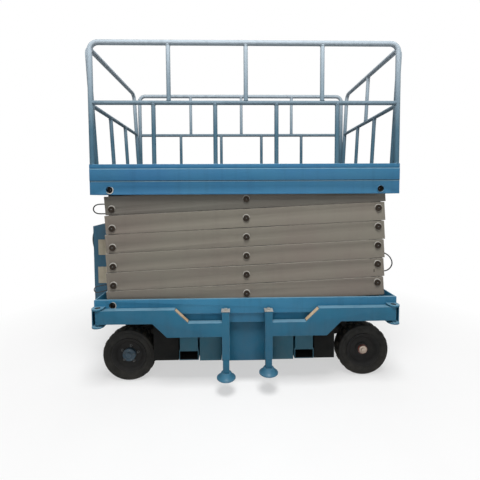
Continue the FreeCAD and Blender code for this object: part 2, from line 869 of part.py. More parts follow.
def jack():
    """The near left jack: a square leg with its round foot."""
    half = jack_side / 2
    x, y = -leg_x, -outrigger_y
    foot_top = foot_bottom + foot_plate
    leg_head = leg_top - leg_cap - jack_head_gap
    leg = box(x - half, x + half, y - half, y + half, foot_top, leg_head)
    pad = flat_sided_bar(foot_radius, WHEEL_SIDES, V(x, y, foot_bottom), V(x, y, foot_top))
    cone = Part.makeLoft([
        Part.makePolygon([V(x + u, y + v, z) for u, v in points + points[:1]])
        for points, z in (
            (ring_points(foot_radius - foot_rim, WHEEL_SIDES), foot_top),
            (ring_points(foot_neck, WHEEL_SIDES), foot_top + foot_cone),
        )
    ], True, True)
    return fused([leg, pad, cone])


def power_box():
    """The belly housing, the boxes beside it, and the battery trays beyond the fork pockets."""
    y = side_face - power_setback
    shapes = [box(-power_half, power_half, -y, y, power_bottom, sill_bottom)]
    # near edge, far edge, half width and bottom of each pair
    pairs = [
        (box_x0, box_x1, side_face - box_setback, box_bottom),
        (tray_x0, tray_x0 + tray_length, side_face - tray_setback, tray_bottom),
    ]
    for x0, x1, y, bottom in pairs:
        for end in (-1, 1):
            shapes.append(end_box(end, x0, x1, y, bottom, sill_bottom))
    return shapes


def fork_pockets():
    """Two tubes across the machine for a truck's forks, each hung from the chassis by its ends."""
    y = side_face - pocket_setback
    w = pocket_wall
    tube = box(pocket_x0 - w, pocket_x1 + w, -y, y, pocket_bottom - w, pocket_top + w)
    hollow = box(pocket_x0, pocket_x1, -y, y, pocket_bottom, pocket_top)
    hanger = box(pocket_x0, pocket_x1, -y, -y + hanger_width, pocket_top + w, sill_bottom)
    pocket = fused([tube.cut(hollow)] + both_sides(hanger))
    return [pocket, other_end(pocket)]


def control_cabinet():
    """The cabinet on the left end plate, with a sloping roof."""
    x0, x1 = cabinet_face, -chassis_half
    y = cabinet_width / 2
    housing = section_along_y([
        (x0, cabinet_bottom), (x0, cabinet_top - cabinet_slope), (x1, cabinet_top),
        (x1, cabinet_bottom),
    ], -y, y)
    return [housing] + ferrules(CABINET_LEAD)


Hose = namedtuple("Hose", "tier radius y end points")
# The tier whose inner arms carry a hose, or 0 for the cabinet's lead; its radius, its
# plane across the machine, the end that it loops out of, and its corner points from one
# ferrule to the other: x from that end, and z
UPPER_LEFT_HOSE = Hose(5, 6.0, hose_plane, -chassis_half, [
    (110, 1814), (0, 1817), (-68, 1808), (-93, 1764), (-66, 1722), (10, 1716), (110, 1724),
])
LOWER_LEFT_HOSE = Hose(1, 4.5, hose_plane, -chassis_half, [
    (110, 1006), (35, 1001), (-46, 985), (-90, 973.5), (-103.5, 952.5), (-98, 928.5),
    (-77, 915), (-33, 924), (38, 943), (110, 972),
])
RIGHT_HOSE = Hose(3, 6.0, hose_plane, chassis_half, [
    (-182, 1290), (-55, 1314), (44, 1270), (86, 1180), (30, 1105), (-75, 1106), (-182, 1160),
])
CABINET_LEAD = Hose(0, 8.0, -lead_y, cabinet_face, [
    (-14, 1262), (-14, 1310), (-30, 1385), (-30, 1450), (-14, 1505), (-14, 1535),
])


def hose_corners(hose):
    """The hose's corner points in space."""
    return [V(hose.end + x, hose.y, z) for x, z in hose.points]


def bends(corners):
    """For each inner corner: where its arc starts, its middle and end, and its radius."""
    found = []
    for before, corner, after in zip(corners, corners[1:], corners[2:]):
        back, ahead = (before - corner), (after - corner)
        turn = math.pi - back.getAngle(ahead)
        length = hose_bend_share * min(back.Length, ahead.Length)
        radius = length / math.tan(turn / 2)
        start = corner + back.normalize() * length
        finish = corner + ahead.normalize() * length
        inward = (start + finish) * 0.5 - corner
        middle = corner + inward.normalize() * (radius / math.cos(turn / 2) - radius)
        found.append((start, middle, finish, radius))
    return found


def hose_tube(hose):
    """A hose along its corner points, each corner rounded by a tangent arc."""
    corners = hose_corners(hose)
    edges, place = [], corners[0]
    for start, middle, finish, radius in bends(corners):
        edges.append(Part.LineSegment(place, start).toShape())
        edges.append(Part.Arc(start, middle, finish).toShape())
        place = finish
    edges.append(Part.LineSegment(place, corners[-1]).toShape())
    path = Part.Wire(edges)
    section = Part.Wire(Part.makeCircle(hose.radius, corners[0], corners[1] - corners[0]))
    return path.makePipeShell([section], True, True)


def ferrules(hose):
    """The ferrule at each end of a hose, on a clip that reaches its arm or its wall."""
    corners = hose_corners(hose)
    shapes = []
    for end, following in ((corners[0], corners[1]), (corners[-1], corners[-2])):
        along = (end - following).normalize()
        sleeve = rod(hose.radius + ferrule_wall, end, end + along * ferrule_length)
        middle = end + along * ferrule_length / 2
        if hose.tier:
            clip = box(
                middle.x - clip_half, middle.x + clip_half, -inner_arm_back, hose.y,
                middle.z - clip_half, middle.z + clip_half,
            )
        else:
            clip = box(
                middle.x, cabinet_face, hose.y - clip_half, hose.y + clip_half,
                middle.z - clip_half, middle.z + clip_half,
            )
        shapes.append(fused([sleeve, clip]))
    return shapes


def hose_nodes():
    """The hoses that loop out of the mast's ends, and the lead on the cabinet."""
    hoses = [
        ("hose_inner_5_left", UPPER_LEFT_HOSE), ("hose_inner_1_left", LOWER_LEFT_HOSE),
        ("hose_inner_3_right", RIGHT_HOSE), ("cabinet_lead", CABINET_LEAD),
    ]
    for name, hose in hoses:
        radii = [round(radius) for *_, radius in bends(hose_corners(hose))]
        print(name, "bends at radii", radii, "for a diameter of", 2 * hose.radius)
    return [Node(name, [hose_tube(hose)]) for name, hose in hoses]


Node = namedtuple("Node", "name shapes")


def chassis_nodes():
    """The pieces that stand still."""
    return [
        Node("side_rails", side_rails()),
        Node("cross_beams", cross_beams()),
        Node("arm_seats", arm_seats()),
        Node("power_box", power_box()),
        Node("fork_pockets", fork_pockets()),
        Node("outrigger_brackets", outrigger_brackets()),
        Node("drive_axle", drive_axle()),
        Node("steer_axle", steer_axle()),
        Node("control_cabinet", control_cabinet()),
    ]


def mast_nodes():
    """The arms with their pins, beams and cylinders, from the chassis up."""
    found = []
    for tier in range(1, tiers + 1):
        found.append(Node(f"outer_arms_{tier}", outer_arms(tier)))
        found.append(Node(f"inner_arms_{tier}", inner_arms(tier)))
        found.append(Node(f"cross_shafts_{tier}", cross_shafts(tier) + lift_beams(tier)))
    found.append(Node("top_rollers", top_rollers()))
    for tier in cylinder_tiers:
        found.append(Node(f"barrels_{tier}", barrels(tier)))
        found.append(Node(f"piston_rods_{tier}", piston_rods(tier)))
    return found


def platform_nodes():
    """The platform with its guard rails."""
    side, end = side_panel(), end_panel()
    return [
        Node("platform_frame", platform_frame()),
        Node("deck_plate", deck()),
        Node("rail_near", side),
        Node("rail_far", [far_side(tube) for tube in side]),
        Node("rail_right", end),
        Node("rail_left", [other_end(tube) for tube in end]),
    ]


def outrigger_nodes():
    """Four outriggers with their jacks, mirrored from the near left one."""
    found = []
    # kind, the near left one, and how much higher the right-hand ones stand
    kinds = [("outrigger", outrigger_arm(), 0), ("jack", jack(), right_foot_lift)]
    for kind, near_left, lift in kinds:
        near_right = other_end(near_left)
        near_right.translate(V(0, 0, lift))
        found.append(Node(f"{kind}_near_left", [near_left]))
        found.append(Node(f"{kind}_near_right", [near_right]))
        found.append(Node(f"{kind}_far_left", [far_side(near_left)]))
        found.append(Node(f"{kind}_far_right", [far_side(near_right)]))
    return found


def wheel_nodes():
    """Tyres, rims and steering knuckles, mirrored from the near side."""
    found = [Node("knuckle_near", [knuckle()]), Node("knuckle_far", [far_side(knuckle())])]
    # end of the machine, axle, outer face of its near wheel
    axles = [("left", drive_axle_x, drive_face_y), ("right", steer_axle_x, steer_face_y)]
    for end, x, y_face in axles:
        for kind, near in (("tyre", tyre(x, y_face)), ("rim", rim(x, y_face))):
            found.append(Node(f"{kind}_near_{end}", [near]))
            found.append(Node(f"{kind}_far_{end}", [far_side(near)]))
    return found


def nodes():
    """Every node's name and solids, about the middle of the chassis."""
    return (
        chassis_nodes() + mast_nodes() + platform_nodes() + outrigger_nodes() + wheel_nodes()
        + hose_nodes()
    )


def origin_shift(found):
    """How far every piece moves along X so that the origin is under the middle."""
    boxes = [shape.optimalBoundingBox(False) for node in found for shape in node.shapes]
    return -(min(b.XMin for b in boxes) + max(b.XMax for b in boxes)) / 2


def main():
    os.makedirs("parts", exist_ok=True)
    found = nodes()
    shift = V(origin_shift(found), 0, 0)
    for node in found:
        piece = Part.makeCompound(node.shapes) if len(node.shapes) > 1 else node.shapes[0]
        piece.translate(shift)
        piece.exportStep(f"parts/{node.name}.step")
    print(len(found), "nodes, moved by", round(shift.x, 3), "mm along X")


if __name__ == "__main__":
    main()
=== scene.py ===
"""A wheeled scissor lift with outriggers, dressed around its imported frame. Sizes are in metres."""
import json
import logging
import math
from dataclasses import dataclass, field
from enum import Enum
from typing import Callable, Sequence

import bmesh
import bpy
from mathutils import Matrix, Vector

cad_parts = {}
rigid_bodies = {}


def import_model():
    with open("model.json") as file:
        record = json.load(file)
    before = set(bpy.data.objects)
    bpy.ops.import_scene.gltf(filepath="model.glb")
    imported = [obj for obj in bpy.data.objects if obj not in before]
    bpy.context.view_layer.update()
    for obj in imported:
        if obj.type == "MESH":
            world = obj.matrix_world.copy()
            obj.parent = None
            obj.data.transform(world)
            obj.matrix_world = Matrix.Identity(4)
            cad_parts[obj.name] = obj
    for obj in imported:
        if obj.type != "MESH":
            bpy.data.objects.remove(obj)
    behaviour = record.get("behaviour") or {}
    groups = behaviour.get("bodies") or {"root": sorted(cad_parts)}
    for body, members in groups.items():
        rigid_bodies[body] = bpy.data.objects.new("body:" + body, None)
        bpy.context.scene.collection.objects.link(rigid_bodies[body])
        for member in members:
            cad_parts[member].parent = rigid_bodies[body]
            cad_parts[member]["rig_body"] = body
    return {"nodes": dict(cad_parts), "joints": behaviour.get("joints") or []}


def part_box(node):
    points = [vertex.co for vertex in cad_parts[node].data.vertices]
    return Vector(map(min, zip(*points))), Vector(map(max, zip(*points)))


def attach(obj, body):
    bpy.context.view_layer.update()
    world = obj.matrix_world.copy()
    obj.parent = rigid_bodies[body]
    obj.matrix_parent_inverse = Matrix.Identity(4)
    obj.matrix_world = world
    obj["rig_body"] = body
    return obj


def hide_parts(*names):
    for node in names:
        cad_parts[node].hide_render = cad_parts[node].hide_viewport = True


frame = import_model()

log = logging.getLogger("scissor_lift")

Colour = tuple[float, float, float]
Point = tuple[float, float, float]
Pair = tuple[float, float]
Piece = bpy.types.Object
Socket = bpy.types.NodeSocket
# radius and distance along the axis, from one end of a turned section to the other
Profile = Sequence[Pair]
X, Y, Z = Vector((1, 0, 0)), Vector((0, 1, 0)), Vector((0, 0, 1))
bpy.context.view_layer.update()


class Across(Enum):
    """The plane that a piece is mirrored across."""

    SIDES = "the middle plane, from the near side to the far side"
    ENDS = "the plane through the mast's centre pins, from end to end"


class Smooth(Enum):
    """The angle up to which neighbouring faces are shaded as one surface."""

    ROUND = math.radians(40)
    PLATE = math.radians(28)


def joint_place(name: str) -> Vector:
    """A point on the axis of a hinge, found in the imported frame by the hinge's name."""
    return Vector(next(j["pos_m"] for j in frame["joints"] if j["name"] == name))


@dataclass(frozen=True)
class Layout:
    """Places that several sub-assemblies share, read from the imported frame."""

    tiers: int
    centre_x: float
    half_span: float
    pin_low: float
    rise: float
    arm_face: float
    stub_face: float
    side_face: float

    @classmethod
    def read(cls) -> "Layout":
        """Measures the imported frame.

        Returns:
            The places, in metres.
        """
        tiers = sum(j["name"].startswith("centre_pins") for j in frame["joints"])
        foot, top = joint_place("lift"), joint_place("platform_pins")
        centre = joint_place("centre_pins_1")
        return cls(
            tiers=tiers,
            centre_x=centre.x,
            half_span=centre.x - foot.x,
            pin_low=foot.z,
            rise=(top.z - foot.z) / tiers,
            arm_face=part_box("outer_arms_1")[1].y,
            stub_face=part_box("cross_shafts_2")[1].y,
            side_face=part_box("side_rails")[1].y,
        )

    def pin_z(self, level: float) -> float:
        """Height of the arms' pins at a level, from 0 on the chassis up."""
        return self.pin_low + level * self.rise


class Bench:
    """The modelling bench: Blender's own tools, used one after another as by hand."""

    # how near two corners are one, in a piece made here and in a copy of the CAD
    doubles = 1e-5
    cad_doubles = 2e-5
    # up to which angle faces are one plane, and from which an edge is rounded
    flat = math.radians(0.5)
    sharp = math.radians(40)

    @staticmethod
    def clear() -> None:
        """Leaves edit mode and deselects everything."""
        if bpy.context.mode != "OBJECT":
            bpy.ops.object.mode_set(mode="OBJECT")
        bpy.ops.object.select_all(action="DESELECT")

    @staticmethod
    def take(*pieces: Piece) -> None:
        """Selects pieces, and makes the first one active.

        Args:
            pieces: What the next operator acts on.
        """
        Bench.clear()
        for piece in pieces:
            piece.select_set(True)
        bpy.context.view_layer.objects.active = pieces[0]

    @staticmethod
    def open(piece: Piece, mode: str = "FACE", action: str = "DESELECT") -> None:
        """Opens a piece in edit mode.

        Args:
            piece: The piece to shape.
            mode: VERT, EDGE or FACE.
            action: SELECT where everything is selected first, or DESELECT.
        """
        Bench.take(piece)
        bpy.ops.object.mode_set(mode="EDIT")
        bpy.ops.mesh.select_mode(type=mode)
        bpy.ops.mesh.select_all(action=action)

    @staticmethod
    def settle(piece: Piece) -> Piece:
        """Moves a piece's place into its mesh, so that the object sits at the origin.

        Args:
            piece: A piece that was placed by its object.

        Returns:
            The same piece.
        """
        Bench.take(piece)
        bpy.ops.object.transform_apply(location=True, rotation=True, scale=True)
        return piece

    @staticmethod
    def pick_faces(piece: Piece, test: Callable[[Vector, Vector], bool]) -> None:
        """Selects the faces whose centre and normal pass a test.

        Args:
            piece: The piece that is open in edit mode.
            test: Takes a face's centre and normal.
        """
        mesh = bmesh.from_edit_mesh(piece.data)
        for face in mesh.faces:
            face.select_set(test(face.calc_center_median(), face.normal))
        bmesh.update_edit_mesh(piece.data)

    @staticmethod
    def pick_verts(piece: Piece, test: Callable[[Vector], bool]) -> None:
        """Selects the corners whose place passes a test.

        Args:
            piece: The piece that is open in edit mode.
            test: Takes a corner's place.
        """
        mesh = bmesh.from_edit_mesh(piece.data)
        for vert in mesh.verts:
            vert.select_set(test(vert.co))
        mesh.select_flush_mode()
        bmesh.update_edit_mesh(piece.data)

    @staticmethod
    def close(piece: Piece, outward: bool = False) -> Piece:
        """Leaves edit mode.

        Args:
            piece: The piece that is open.
            outward: Whether its faces are first turned to point outwards.

        Returns:
            The same piece.
        """
        if outward:
            bpy.ops.mesh.select_all(action="SELECT")
            bpy.ops.mesh.remove_doubles(threshold=Bench.doubles)
            bpy.ops.mesh.normals_make_consistent(inside=False)
        bpy.ops.object.mode_set(mode="OBJECT")
        return piece

    @staticmethod
    def block(low: Sequence[float], high: Sequence[float], bevel: float = 0.002,
              segments: int = 2) -> Piece:
        """Adds a block between two corners and rounds its edges.

        Args:
            low: The lowest corner.
            high: The highest corner.
            bevel: How far the edges are rounded.
            segments: Steps in each rounded edge.

        Returns:
            The piece.
        """
        low, high = Vector(low), Vector(high)
        Bench.clear()
        bpy.ops.mesh.primitive_cube_add(size=1, location=(low + high) / 2, scale=high - low)
        piece = Bench.settle(bpy.context.object)
        Bench.open(piece, "EDGE", "SELECT")
        bpy.ops.mesh.bevel(offset=bevel, segments=segments, affect="EDGES")
        return Bench.close(piece)

    @staticmethod
    def turned(start: Vector, axis: Vector, profile: Profile, sides: int = 32,
               hollow: bool = False) -> Piece:
        """Builds a turned piece by extruding and scaling a disc or a loop, step by step.

        Args:
            start: The point on the axis that the profile counts from.
            axis: The direction that it grows in.
            profile: Radius and distance along the axis, from one end to the other, or once around
                the section of a hollow piece.
            sides: Corners around it.
            hollow: Whether its last loop is bridged to its first, as in a ring.

        Returns:
            The piece, with its faces outwards.
        """
        Bench.clear()
        radius, along = profile[0]
        bpy.ops.mesh.primitive_circle_add(
            vertices=sides, radius=radius, fill_type="NOTHING" if hollow else "NGON",
            location=start + axis * along, rotation=axis.to_track_quat("Z", "Y").to_euler(),
        )
        piece = Bench.settle(bpy.context.object)
        Bench.open(piece, "EDGE" if hollow else "FACE", "SELECT")
        for (r0, a0), (r1, a1) in zip(profile, profile[1:]):
            bpy.ops.mesh.extrude_region_move(TRANSFORM_OT_translate={"value": axis * (a1 - a0)})
            bpy.ops.transform.resize(value=(r1 / r0,) * 3, center_override=start + axis * a1)
        if hollow:
            mesh = bmesh.from_edit_mesh(piece.data)
            for edge in mesh.edges:
                edge.select_set(edge.is_boundary)
            bmesh.update_edit_mesh(piece.data)
            bpy.ops.mesh.bridge_edge_loops()
        return Bench.close(piece, outward=True)

    @staticmethod
    def ring(start: Vector, axis: Vector, profile: Profile, sides: int = 48) -> Piece:
        """Builds a turned piece from a closed section, counted from a start along an axis."""
        return Bench.turned(start, axis, profile, sides, hollow=True)

    @staticmethod
    def tube(start: Vector, finish: Vector, radius: float, sides: int = 20) -> Piece:
        """Draws a straight round tube of a radius between two points."""
        run = finish - start
        return Bench.turned(start, run.normalized(), [(radius, 0), (radius, run.length)], sides)

    @staticmethod
    def copy_of(piece: Piece) -> Piece:
        """Copies a piece with its own mesh.

        Args:
            piece: The piece to copy.

        Returns:
            The copy.
        """
        Bench.take(piece)
        bpy.ops.object.duplicate()
        return bpy.context.object

    @staticmethod
    def mirrored(piece: Piece, across: Across, centre_x: float = 0.0) -> Piece:
        """Copies a piece to the other side or end.

        Args:
            piece: The piece to copy.
            across: The mirror plane.
            centre_x: Where the plane between the ends stands.

        Returns:
            The mirrored copy.
        """
        copy = Bench.copy_of(piece)
        Bench.open(copy, action="SELECT")
        scale = (1, -1, 1) if across is Across.SIDES else (-1, 1, 1)
        bpy.ops.transform.resize(value=scale, center_override=(centre_x, 0, 0))
        bpy.ops.mesh.flip_normals()
        return Bench.close(copy)

    @staticmethod
    def both_sides(near: Piece) -> Piece:
        """Joins a near piece and its mirrored copy on the far side into one."""
        return Bench.join([near, Bench.mirrored(near, Across.SIDES)])

    @staticmethod
    def turn(piece: Piece, centre: Vector, axis: Vector, angle: float) -> Piece:
        """Turns a piece's mesh about a point.

        Args:
            piece: The piece to turn.
            centre: The point.
            axis: The axis, one of X, Y or Z.
            angle: The turn by the right-hand rule, in radians.

        Returns:
            The same piece.
        """
        Bench.open(piece, action="SELECT")
        bpy.ops.transform.rotate(
            value=-angle, orient_axis="XYZ"[(X, Y, Z).index(axis)], center_override=centre,
        )
        return Bench.close(piece)

    @staticmethod
    def join(pieces: Sequence[Piece]) -> Piece:
        """Joins pieces into the first one.

        Args:
            pieces: The pieces, each with its own material.

        Returns:
            The joined piece.
        """
        Bench.take(*pieces)
        if len(pieces) > 1:
            bpy.ops.object.join()
        return pieces[0]

    @staticmethod
    def shift(piece: Piece, by: Vector) -> Piece:
        """Moves a piece's mesh.

        Args:
            piece: The piece to move.
            by: How far.

        Returns:
            The same piece.
        """
        Bench.open(piece, action="SELECT")
        bpy.ops.transform.translate(value=by)
        return Bench.close(piece)

    @staticmethod
    def repaint(piece: Piece, finish: "Finish", test: Callable[[Vector, Vector], bool]) -> Piece:
        """Gives some of a piece's faces a finish of their own.

        Args:
            piece: The piece, with its main finish on.
            finish: The finish of the faces that are picked.
            test: Takes a face's centre and normal.

        Returns:
            The same piece.
        """
        Bench.take(piece)
        bpy.ops.object.material_slot_add()
        piece.active_material = finish.material()
        Bench.open(piece)
        Bench.pick_faces(piece, test)
        bpy.ops.object.material_slot_assign()
        return Bench.close(piece)

    @staticmethod
    def softened(node: str, bevel: float, finish: "Finish", slot: str, steps: int = 2,
                 reshape: Callable[[Piece], None] | None = None) -> Piece:
        """Copies a CAD node, rounds its edges, and lets the copy stand for it.

        Args:
            node: The CAD node's name.
            bevel: How far its sharp edges are rounded.
            finish: The copy's finish.
            slot: Passed on to fit, which does not use it.
            steps: Steps in each rounded edge.
            reshape: What is done to the open copy before its edges are rounded.

        Returns:
            The rounded copy.
        """
        Bench.clear()
        source = frame["nodes"][node]
        piece = bpy.data.objects.new(f"{node}_shape", source.data.copy())
        bpy.context.scene.collection.objects.link(piece)
        piece.data.materials.clear()
        Bench.open(piece, action="SELECT")
        bpy.ops.mesh.remove_doubles(threshold=Bench.cad_doubles)
        bpy.ops.mesh.dissolve_limited(angle_limit=Bench.flat)
        if reshape:
            reshape(piece)
        Bench.close(piece)
        rounding = piece.modifiers.new("Rounding", "BEVEL")
        rounding.width = bevel
        rounding.segments = steps
        rounding.limit_method = "ANGLE"
        rounding.angle_limit = Bench.sharp
        Bench.take(piece)
        bpy.ops.object.modifier_apply(modifier=rounding.name)
        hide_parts(node)
        return Bench.fit(piece, f"{node}_shape", source["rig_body"], finish, slot, Smooth.PLATE)

    @staticmethod
    def fit(piece: Piece, name: str, body: str, finish: "Finish | None", slot: str,
            smooth: Smooth = Smooth.ROUND) -> Piece:
        """Names a finished piece, paints it and sets it on its body.

        Args:
            piece: The finished piece.
            name: Its name.
            body: The CAD body that it rides on.
            finish: Its finish, or None where its parts have their own.
            slot: Not used.
            smooth: How its faces are shaded.

        Returns:
            The same piece.
        """
        piece.name = piece.data.name = name
        if finish is not None:
            finish.on(piece)
        Bench.take(piece)
        bpy.ops.object.shade_smooth_by_angle(angle=smooth.value)
        Bench.clear()
        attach(piece, body)
        log.info("%s rides on %s", name, body)
        return piece


class NodeBench:
    """Adds and links the nodes of one shader tree."""

    # how rough every noise is, and the part of its range that a broad change uses
    rough = 0.6
    broad = (0.3, 0.7)

    def __init__(self, tree: bpy.types.NodeTree) -> None:
        """Starts an empty tree.

        Args:
            tree: The material's or group's node tree.
        """
        self.tree = tree
        tree.nodes.clear()

    def add(self, kind: str, feeds: dict | None = None, **settings: object) -> bpy.types.Node:
        """Adds a node.

        Args:
            kind: The node's type.
            feeds: What its inputs take, by name or number: a value or another node's output.
            settings: The node's own properties.

        Returns:
            The node.
        """
        node = self.tree.nodes.new(kind)
        for key, value in settings.items():
            setattr(node, key, value)
        self.feed(node, feeds or {})
        return node

    def feed(self, node: bpy.types.Node, feeds: dict) -> None:
        """Feeds a node's inputs.

        Args:
            node: The node.
            feeds: What its inputs take, by name or number: a value or another node's output.
        """
        for key, value in feeds.items():
            if isinstance(value, Socket):
                self.tree.links.new(value, node.inputs[key])
            else:
                node.inputs[key].default_value = value

    def place(self, axis: str | None = None) -> Socket:
        """Object coordinates, or their X, Y or Z alone."""
        place = self.add("ShaderNodeTexCoord").outputs["Object"]
        return self.add("ShaderNodeSeparateXYZ", {0: place}).outputs[axis] if axis else place

    def noise(self, scale: object, detail: float = 4.0, vector: object = None) -> Socket:
        """Adds a noise texture in Object coordinates.

        Args:
            scale: Its scale, a value or a socket.
            detail: Its detail.
            vector: Coordinates to use in place of the plain ones.

        Returns:
            Its factor.
        """
        if vector is None:
            vector = self.place()
        feeds = {"Vector": vector, "Scale": scale, "Detail": detail, "Roughness": self.rough}
        return self.add("ShaderNodeTexNoise", feeds).outputs[0]

    def span(self, value: object, low: object, high: object, to_low: object = 0.0,
             to_high: object = 1.0) -> Socket:
        """Maps a value from one range to another, clamped.

        Args:
            value: The value to map.
            low: Where the first range starts.
            high: Where it ends.
            to_low: Where the second range starts.
            to_high: Where it ends.

        Returns:
            The mapped value.
        """
        node = self.add("ShaderNodeMapRange", {0: value, 1: low, 2: high, 3: to_low, 4: to_high})
        return node.outputs[0]

    def patchy(self, scale: float, low: float, high: float) -> Socket:
        """A value that wanders between two bounds with a noise of a scale."""
        return self.span(self.noise(scale), *self.broad, low, high)

    def math(self, operation: str, a: object, b: object = 0.0, c: object = 0.0,
             clamp: bool = True) -> Socket:
        """The result of a Math node's operation on up to three values."""
        node = self.add("ShaderNodeMath", {0: a, 1: b, 2: c}, operation=operation, use_clamp=clamp)
        return node.outputs[0]

    def mix(self, factor: object, a: object, b: object) -> Socket:
        """Mixes two colours.

        Args:
            factor: How much of the second one.
            a: The first colour.
            b: The second colour.

        Returns:
            The mixed colour.
        """
        colours = [c if isinstance(c, Socket) else (*c, 1.0) for c in (a, b)]
        feeds = {0: factor, 6: colours[0], 7: colours[1]}
        return self.add("ShaderNodeMix", feeds, data_type="RGBA").outputs[2]


def shared(output: str, **inputs: object) -> Callable:
    """Turns a function that fills a shader node group into one that places the group.

    The group is built when it is first placed, and only once.

    Args:
        output: What the group puts out: Color, Mask, Height or Normal.
        inputs: The default value of each input, a number or a colour.

    Returns:
        The decorator.
    """
    kinds = {"Color": "NodeSocketColor", "Normal": "NodeSocketVector"}

    def decorate(fill: Callable[[NodeBench, dict], Socket]) -> Callable:
        """Wraps the function that fills the group.

        Args:
            fill: Fills the group from a bench and its inputs, and returns what it puts out.

        Returns:
            The function that places it.
        """

        def placed(bench: NodeBench, **values: object) -> Socket:
            """Places the group in a material.

            Args:
                bench: The material's node bench.
                values: The group's named inputs.

            Returns:
                The group's output.
            """
            tree = bpy.data.node_groups.get(fill.__name__)
            if tree is None:
                tree = bpy.data.node_groups.new(fill.__name__, "ShaderNodeTree")
                for label, value in inputs.items():
                    kind = kinds["Color"] if isinstance(value, tuple) else "NodeSocketFloat"
                    socket = tree.interface.new_socket(label, in_out="INPUT", socket_type=kind)
                    socket.default_value = value
                tree.interface.new_socket(
                    output, in_out="OUTPUT", socket_type=kinds.get(output, "NodeSocketFloat"))
                inner = NodeBench(tree)
                given = inner.add("NodeGroupInput").outputs
                inner.add("NodeGroupOutput", {0: fill(inner, given)})
            feeds = {key: (*value, 1.0) if isinstance(value, tuple) else value
                     for key, value in values.items()}
            return bench.add("ShaderNodeGroup", feeds, node_tree=tree).outputs[0]

        return placed

    return decorate


class Effects:
    """Shader node groups that several finishes share.

    Each function fills one group from a bench and the group's inputs, and returns what it puts out.
    """

    @staticmethod
    @shared("Color", Light=(1, 1, 1, 1), Dark=(0, 0, 0, 1), Scale=1.0)
    def mottle(bench: NodeBench, given: dict) -> Socket:
        """Broad cloudy change between two tones, with finer specks in it."""
        cloud = bench.span(bench.noise(given["Scale"], detail=3.0), 0.36, 0.64)
        speck = bench.span(bench.noise(38.0, detail=5.0), 0.30, 0.75, -0.14, 0.14)
        return bench.mix(bench.math("ADD", cloud, speck), given["Light"], given["Dark"])

    @staticmethod
    @shared("Mask", Radius=0.004, Amount=0.5)
    def edge_wear(bench: NodeBench, given: dict) -> Socket:
        """Edges where the coat has worn thin, broken up by noise."""
        bevel = bench.add("ShaderNodeBevel", {"Radius": given["Radius"]}, samples=4)
        plain = bench.add("ShaderNodeNewGeometry")
        turn = bench.add("ShaderNodeVectorMath", {0: bevel.outputs[0], 1: plain.outputs["Normal"]},
                         operation="DOT_PRODUCT")
        edge = bench.span(turn.outputs["Value"], 0.995, 0.86)
        broken = bench.span(bench.noise(26.0, detail=6.0), 0.42, 0.62)
        return bench.math("MULTIPLY", bench.math("MULTIPLY", edge, broken), given["Amount"])

    @staticmethod
    @shared("Mask", Top=1.0, Amount=0.4)
    def dust(bench: NodeBench, given: dict) -> Socket:
        """Road dust that gathers low down and thins out upwards to its top."""
        low = bench.span(bench.place("Z"), 0.0, given["Top"], 1.0, 0.0)
        cloud = bench.span(bench.noise(7.0, detail=8.0), 0.35, 0.70)
        return bench.math("MULTIPLY", bench.math("MULTIPLY", low, cloud), given["Amount"])

    @staticmethod
    @shared("Mask", Amount=0.3)
    def runs(bench: NodeBench, given: dict) -> Socket:
        """Upright run marks that rain leaves on a painted side."""
        drawn = bench.add("ShaderNodeMapping", {"Vector": bench.place(), "Scale": (14, 14, 0.9)})
        streak = bench.noise(1.0, detail=5.0, vector=drawn.outputs[0])
        run = bench.span(streak, 0.52, 0.72)
        return bench.math("MULTIPLY", run, given["Amount"])

    @staticmethod
    @shared("Mask", Way=1.0, Amount=0.5)
    def facing(bench: NodeBench, given: dict) -> Socket:
        """Faces that look up (Way 1), lightened as a painted highlight, or down (Way -1), darkened
        as painted shade.
        """
        normal = bench.add("ShaderNodeTexCoord").outputs["Normal"]
        up = bench.add("ShaderNodeSeparateXYZ", {0: normal}).outputs["Z"]
        turned = bench.math("MULTIPLY", up, given["Way"], clamp=False)
        mask = bench.math("MULTIPLY", bench.span(turned, 0.25, 0.85), bench.patchy(4.0, 0.75, 1.0))
        return bench.math("MULTIPLY", mask, given["Amount"])

    @staticmethod
    @shared("Normal", Scale=220.0, Depth=0.0004)
    def grain(bench: NodeBench, given: dict) -> Socket:
        """Fine unevenness of a coat, a casting or a moulding."""
        height = bench.noise(given["Scale"], detail=3.0)
        feeds = {"Strength": 0.5, "Distance": given["Depth"], "Height": height}
        return bench.add("ShaderNodeBump", feeds).outputs[0]

    @staticmethod
    @shared("Height", Pitch=0.03)
    def tread_plate(bench: NodeBench, given: dict) -> Socket:
        """Raised lozenges of a chequered deck sheet."""
        bars = []
        for turn, offset in ((math.pi / 4, 0.0), (-math.pi / 4, 0.5)):
            feeds = {"Vector": bench.place(), "Rotation": (0, 0, turn)}
            laid = bench.add("ShaderNodeMapping", feeds)
            parts = bench.add("ShaderNodeSeparateXYZ", {0: laid.outputs[0]})
            waves = []
            for side, stretch, cut in (("X", 0.5, 0.55), ("Y", 1.0, 0.80)):
                step = bench.math("DIVIDE", parts.outputs[side], given["Pitch"], clamp=False)
                shifted = bench.math("MULTIPLY_ADD", step, stretch, offset, clamp=False)
                wave = bench.math("PINGPONG", shifted, 1.0, clamp=False)
                waves.append(bench.span(wave, cut, cut + 0.18))
            bars.append(bench.math("MULTIPLY", *waves))
        return bench.math("MAXIMUM", *bars)


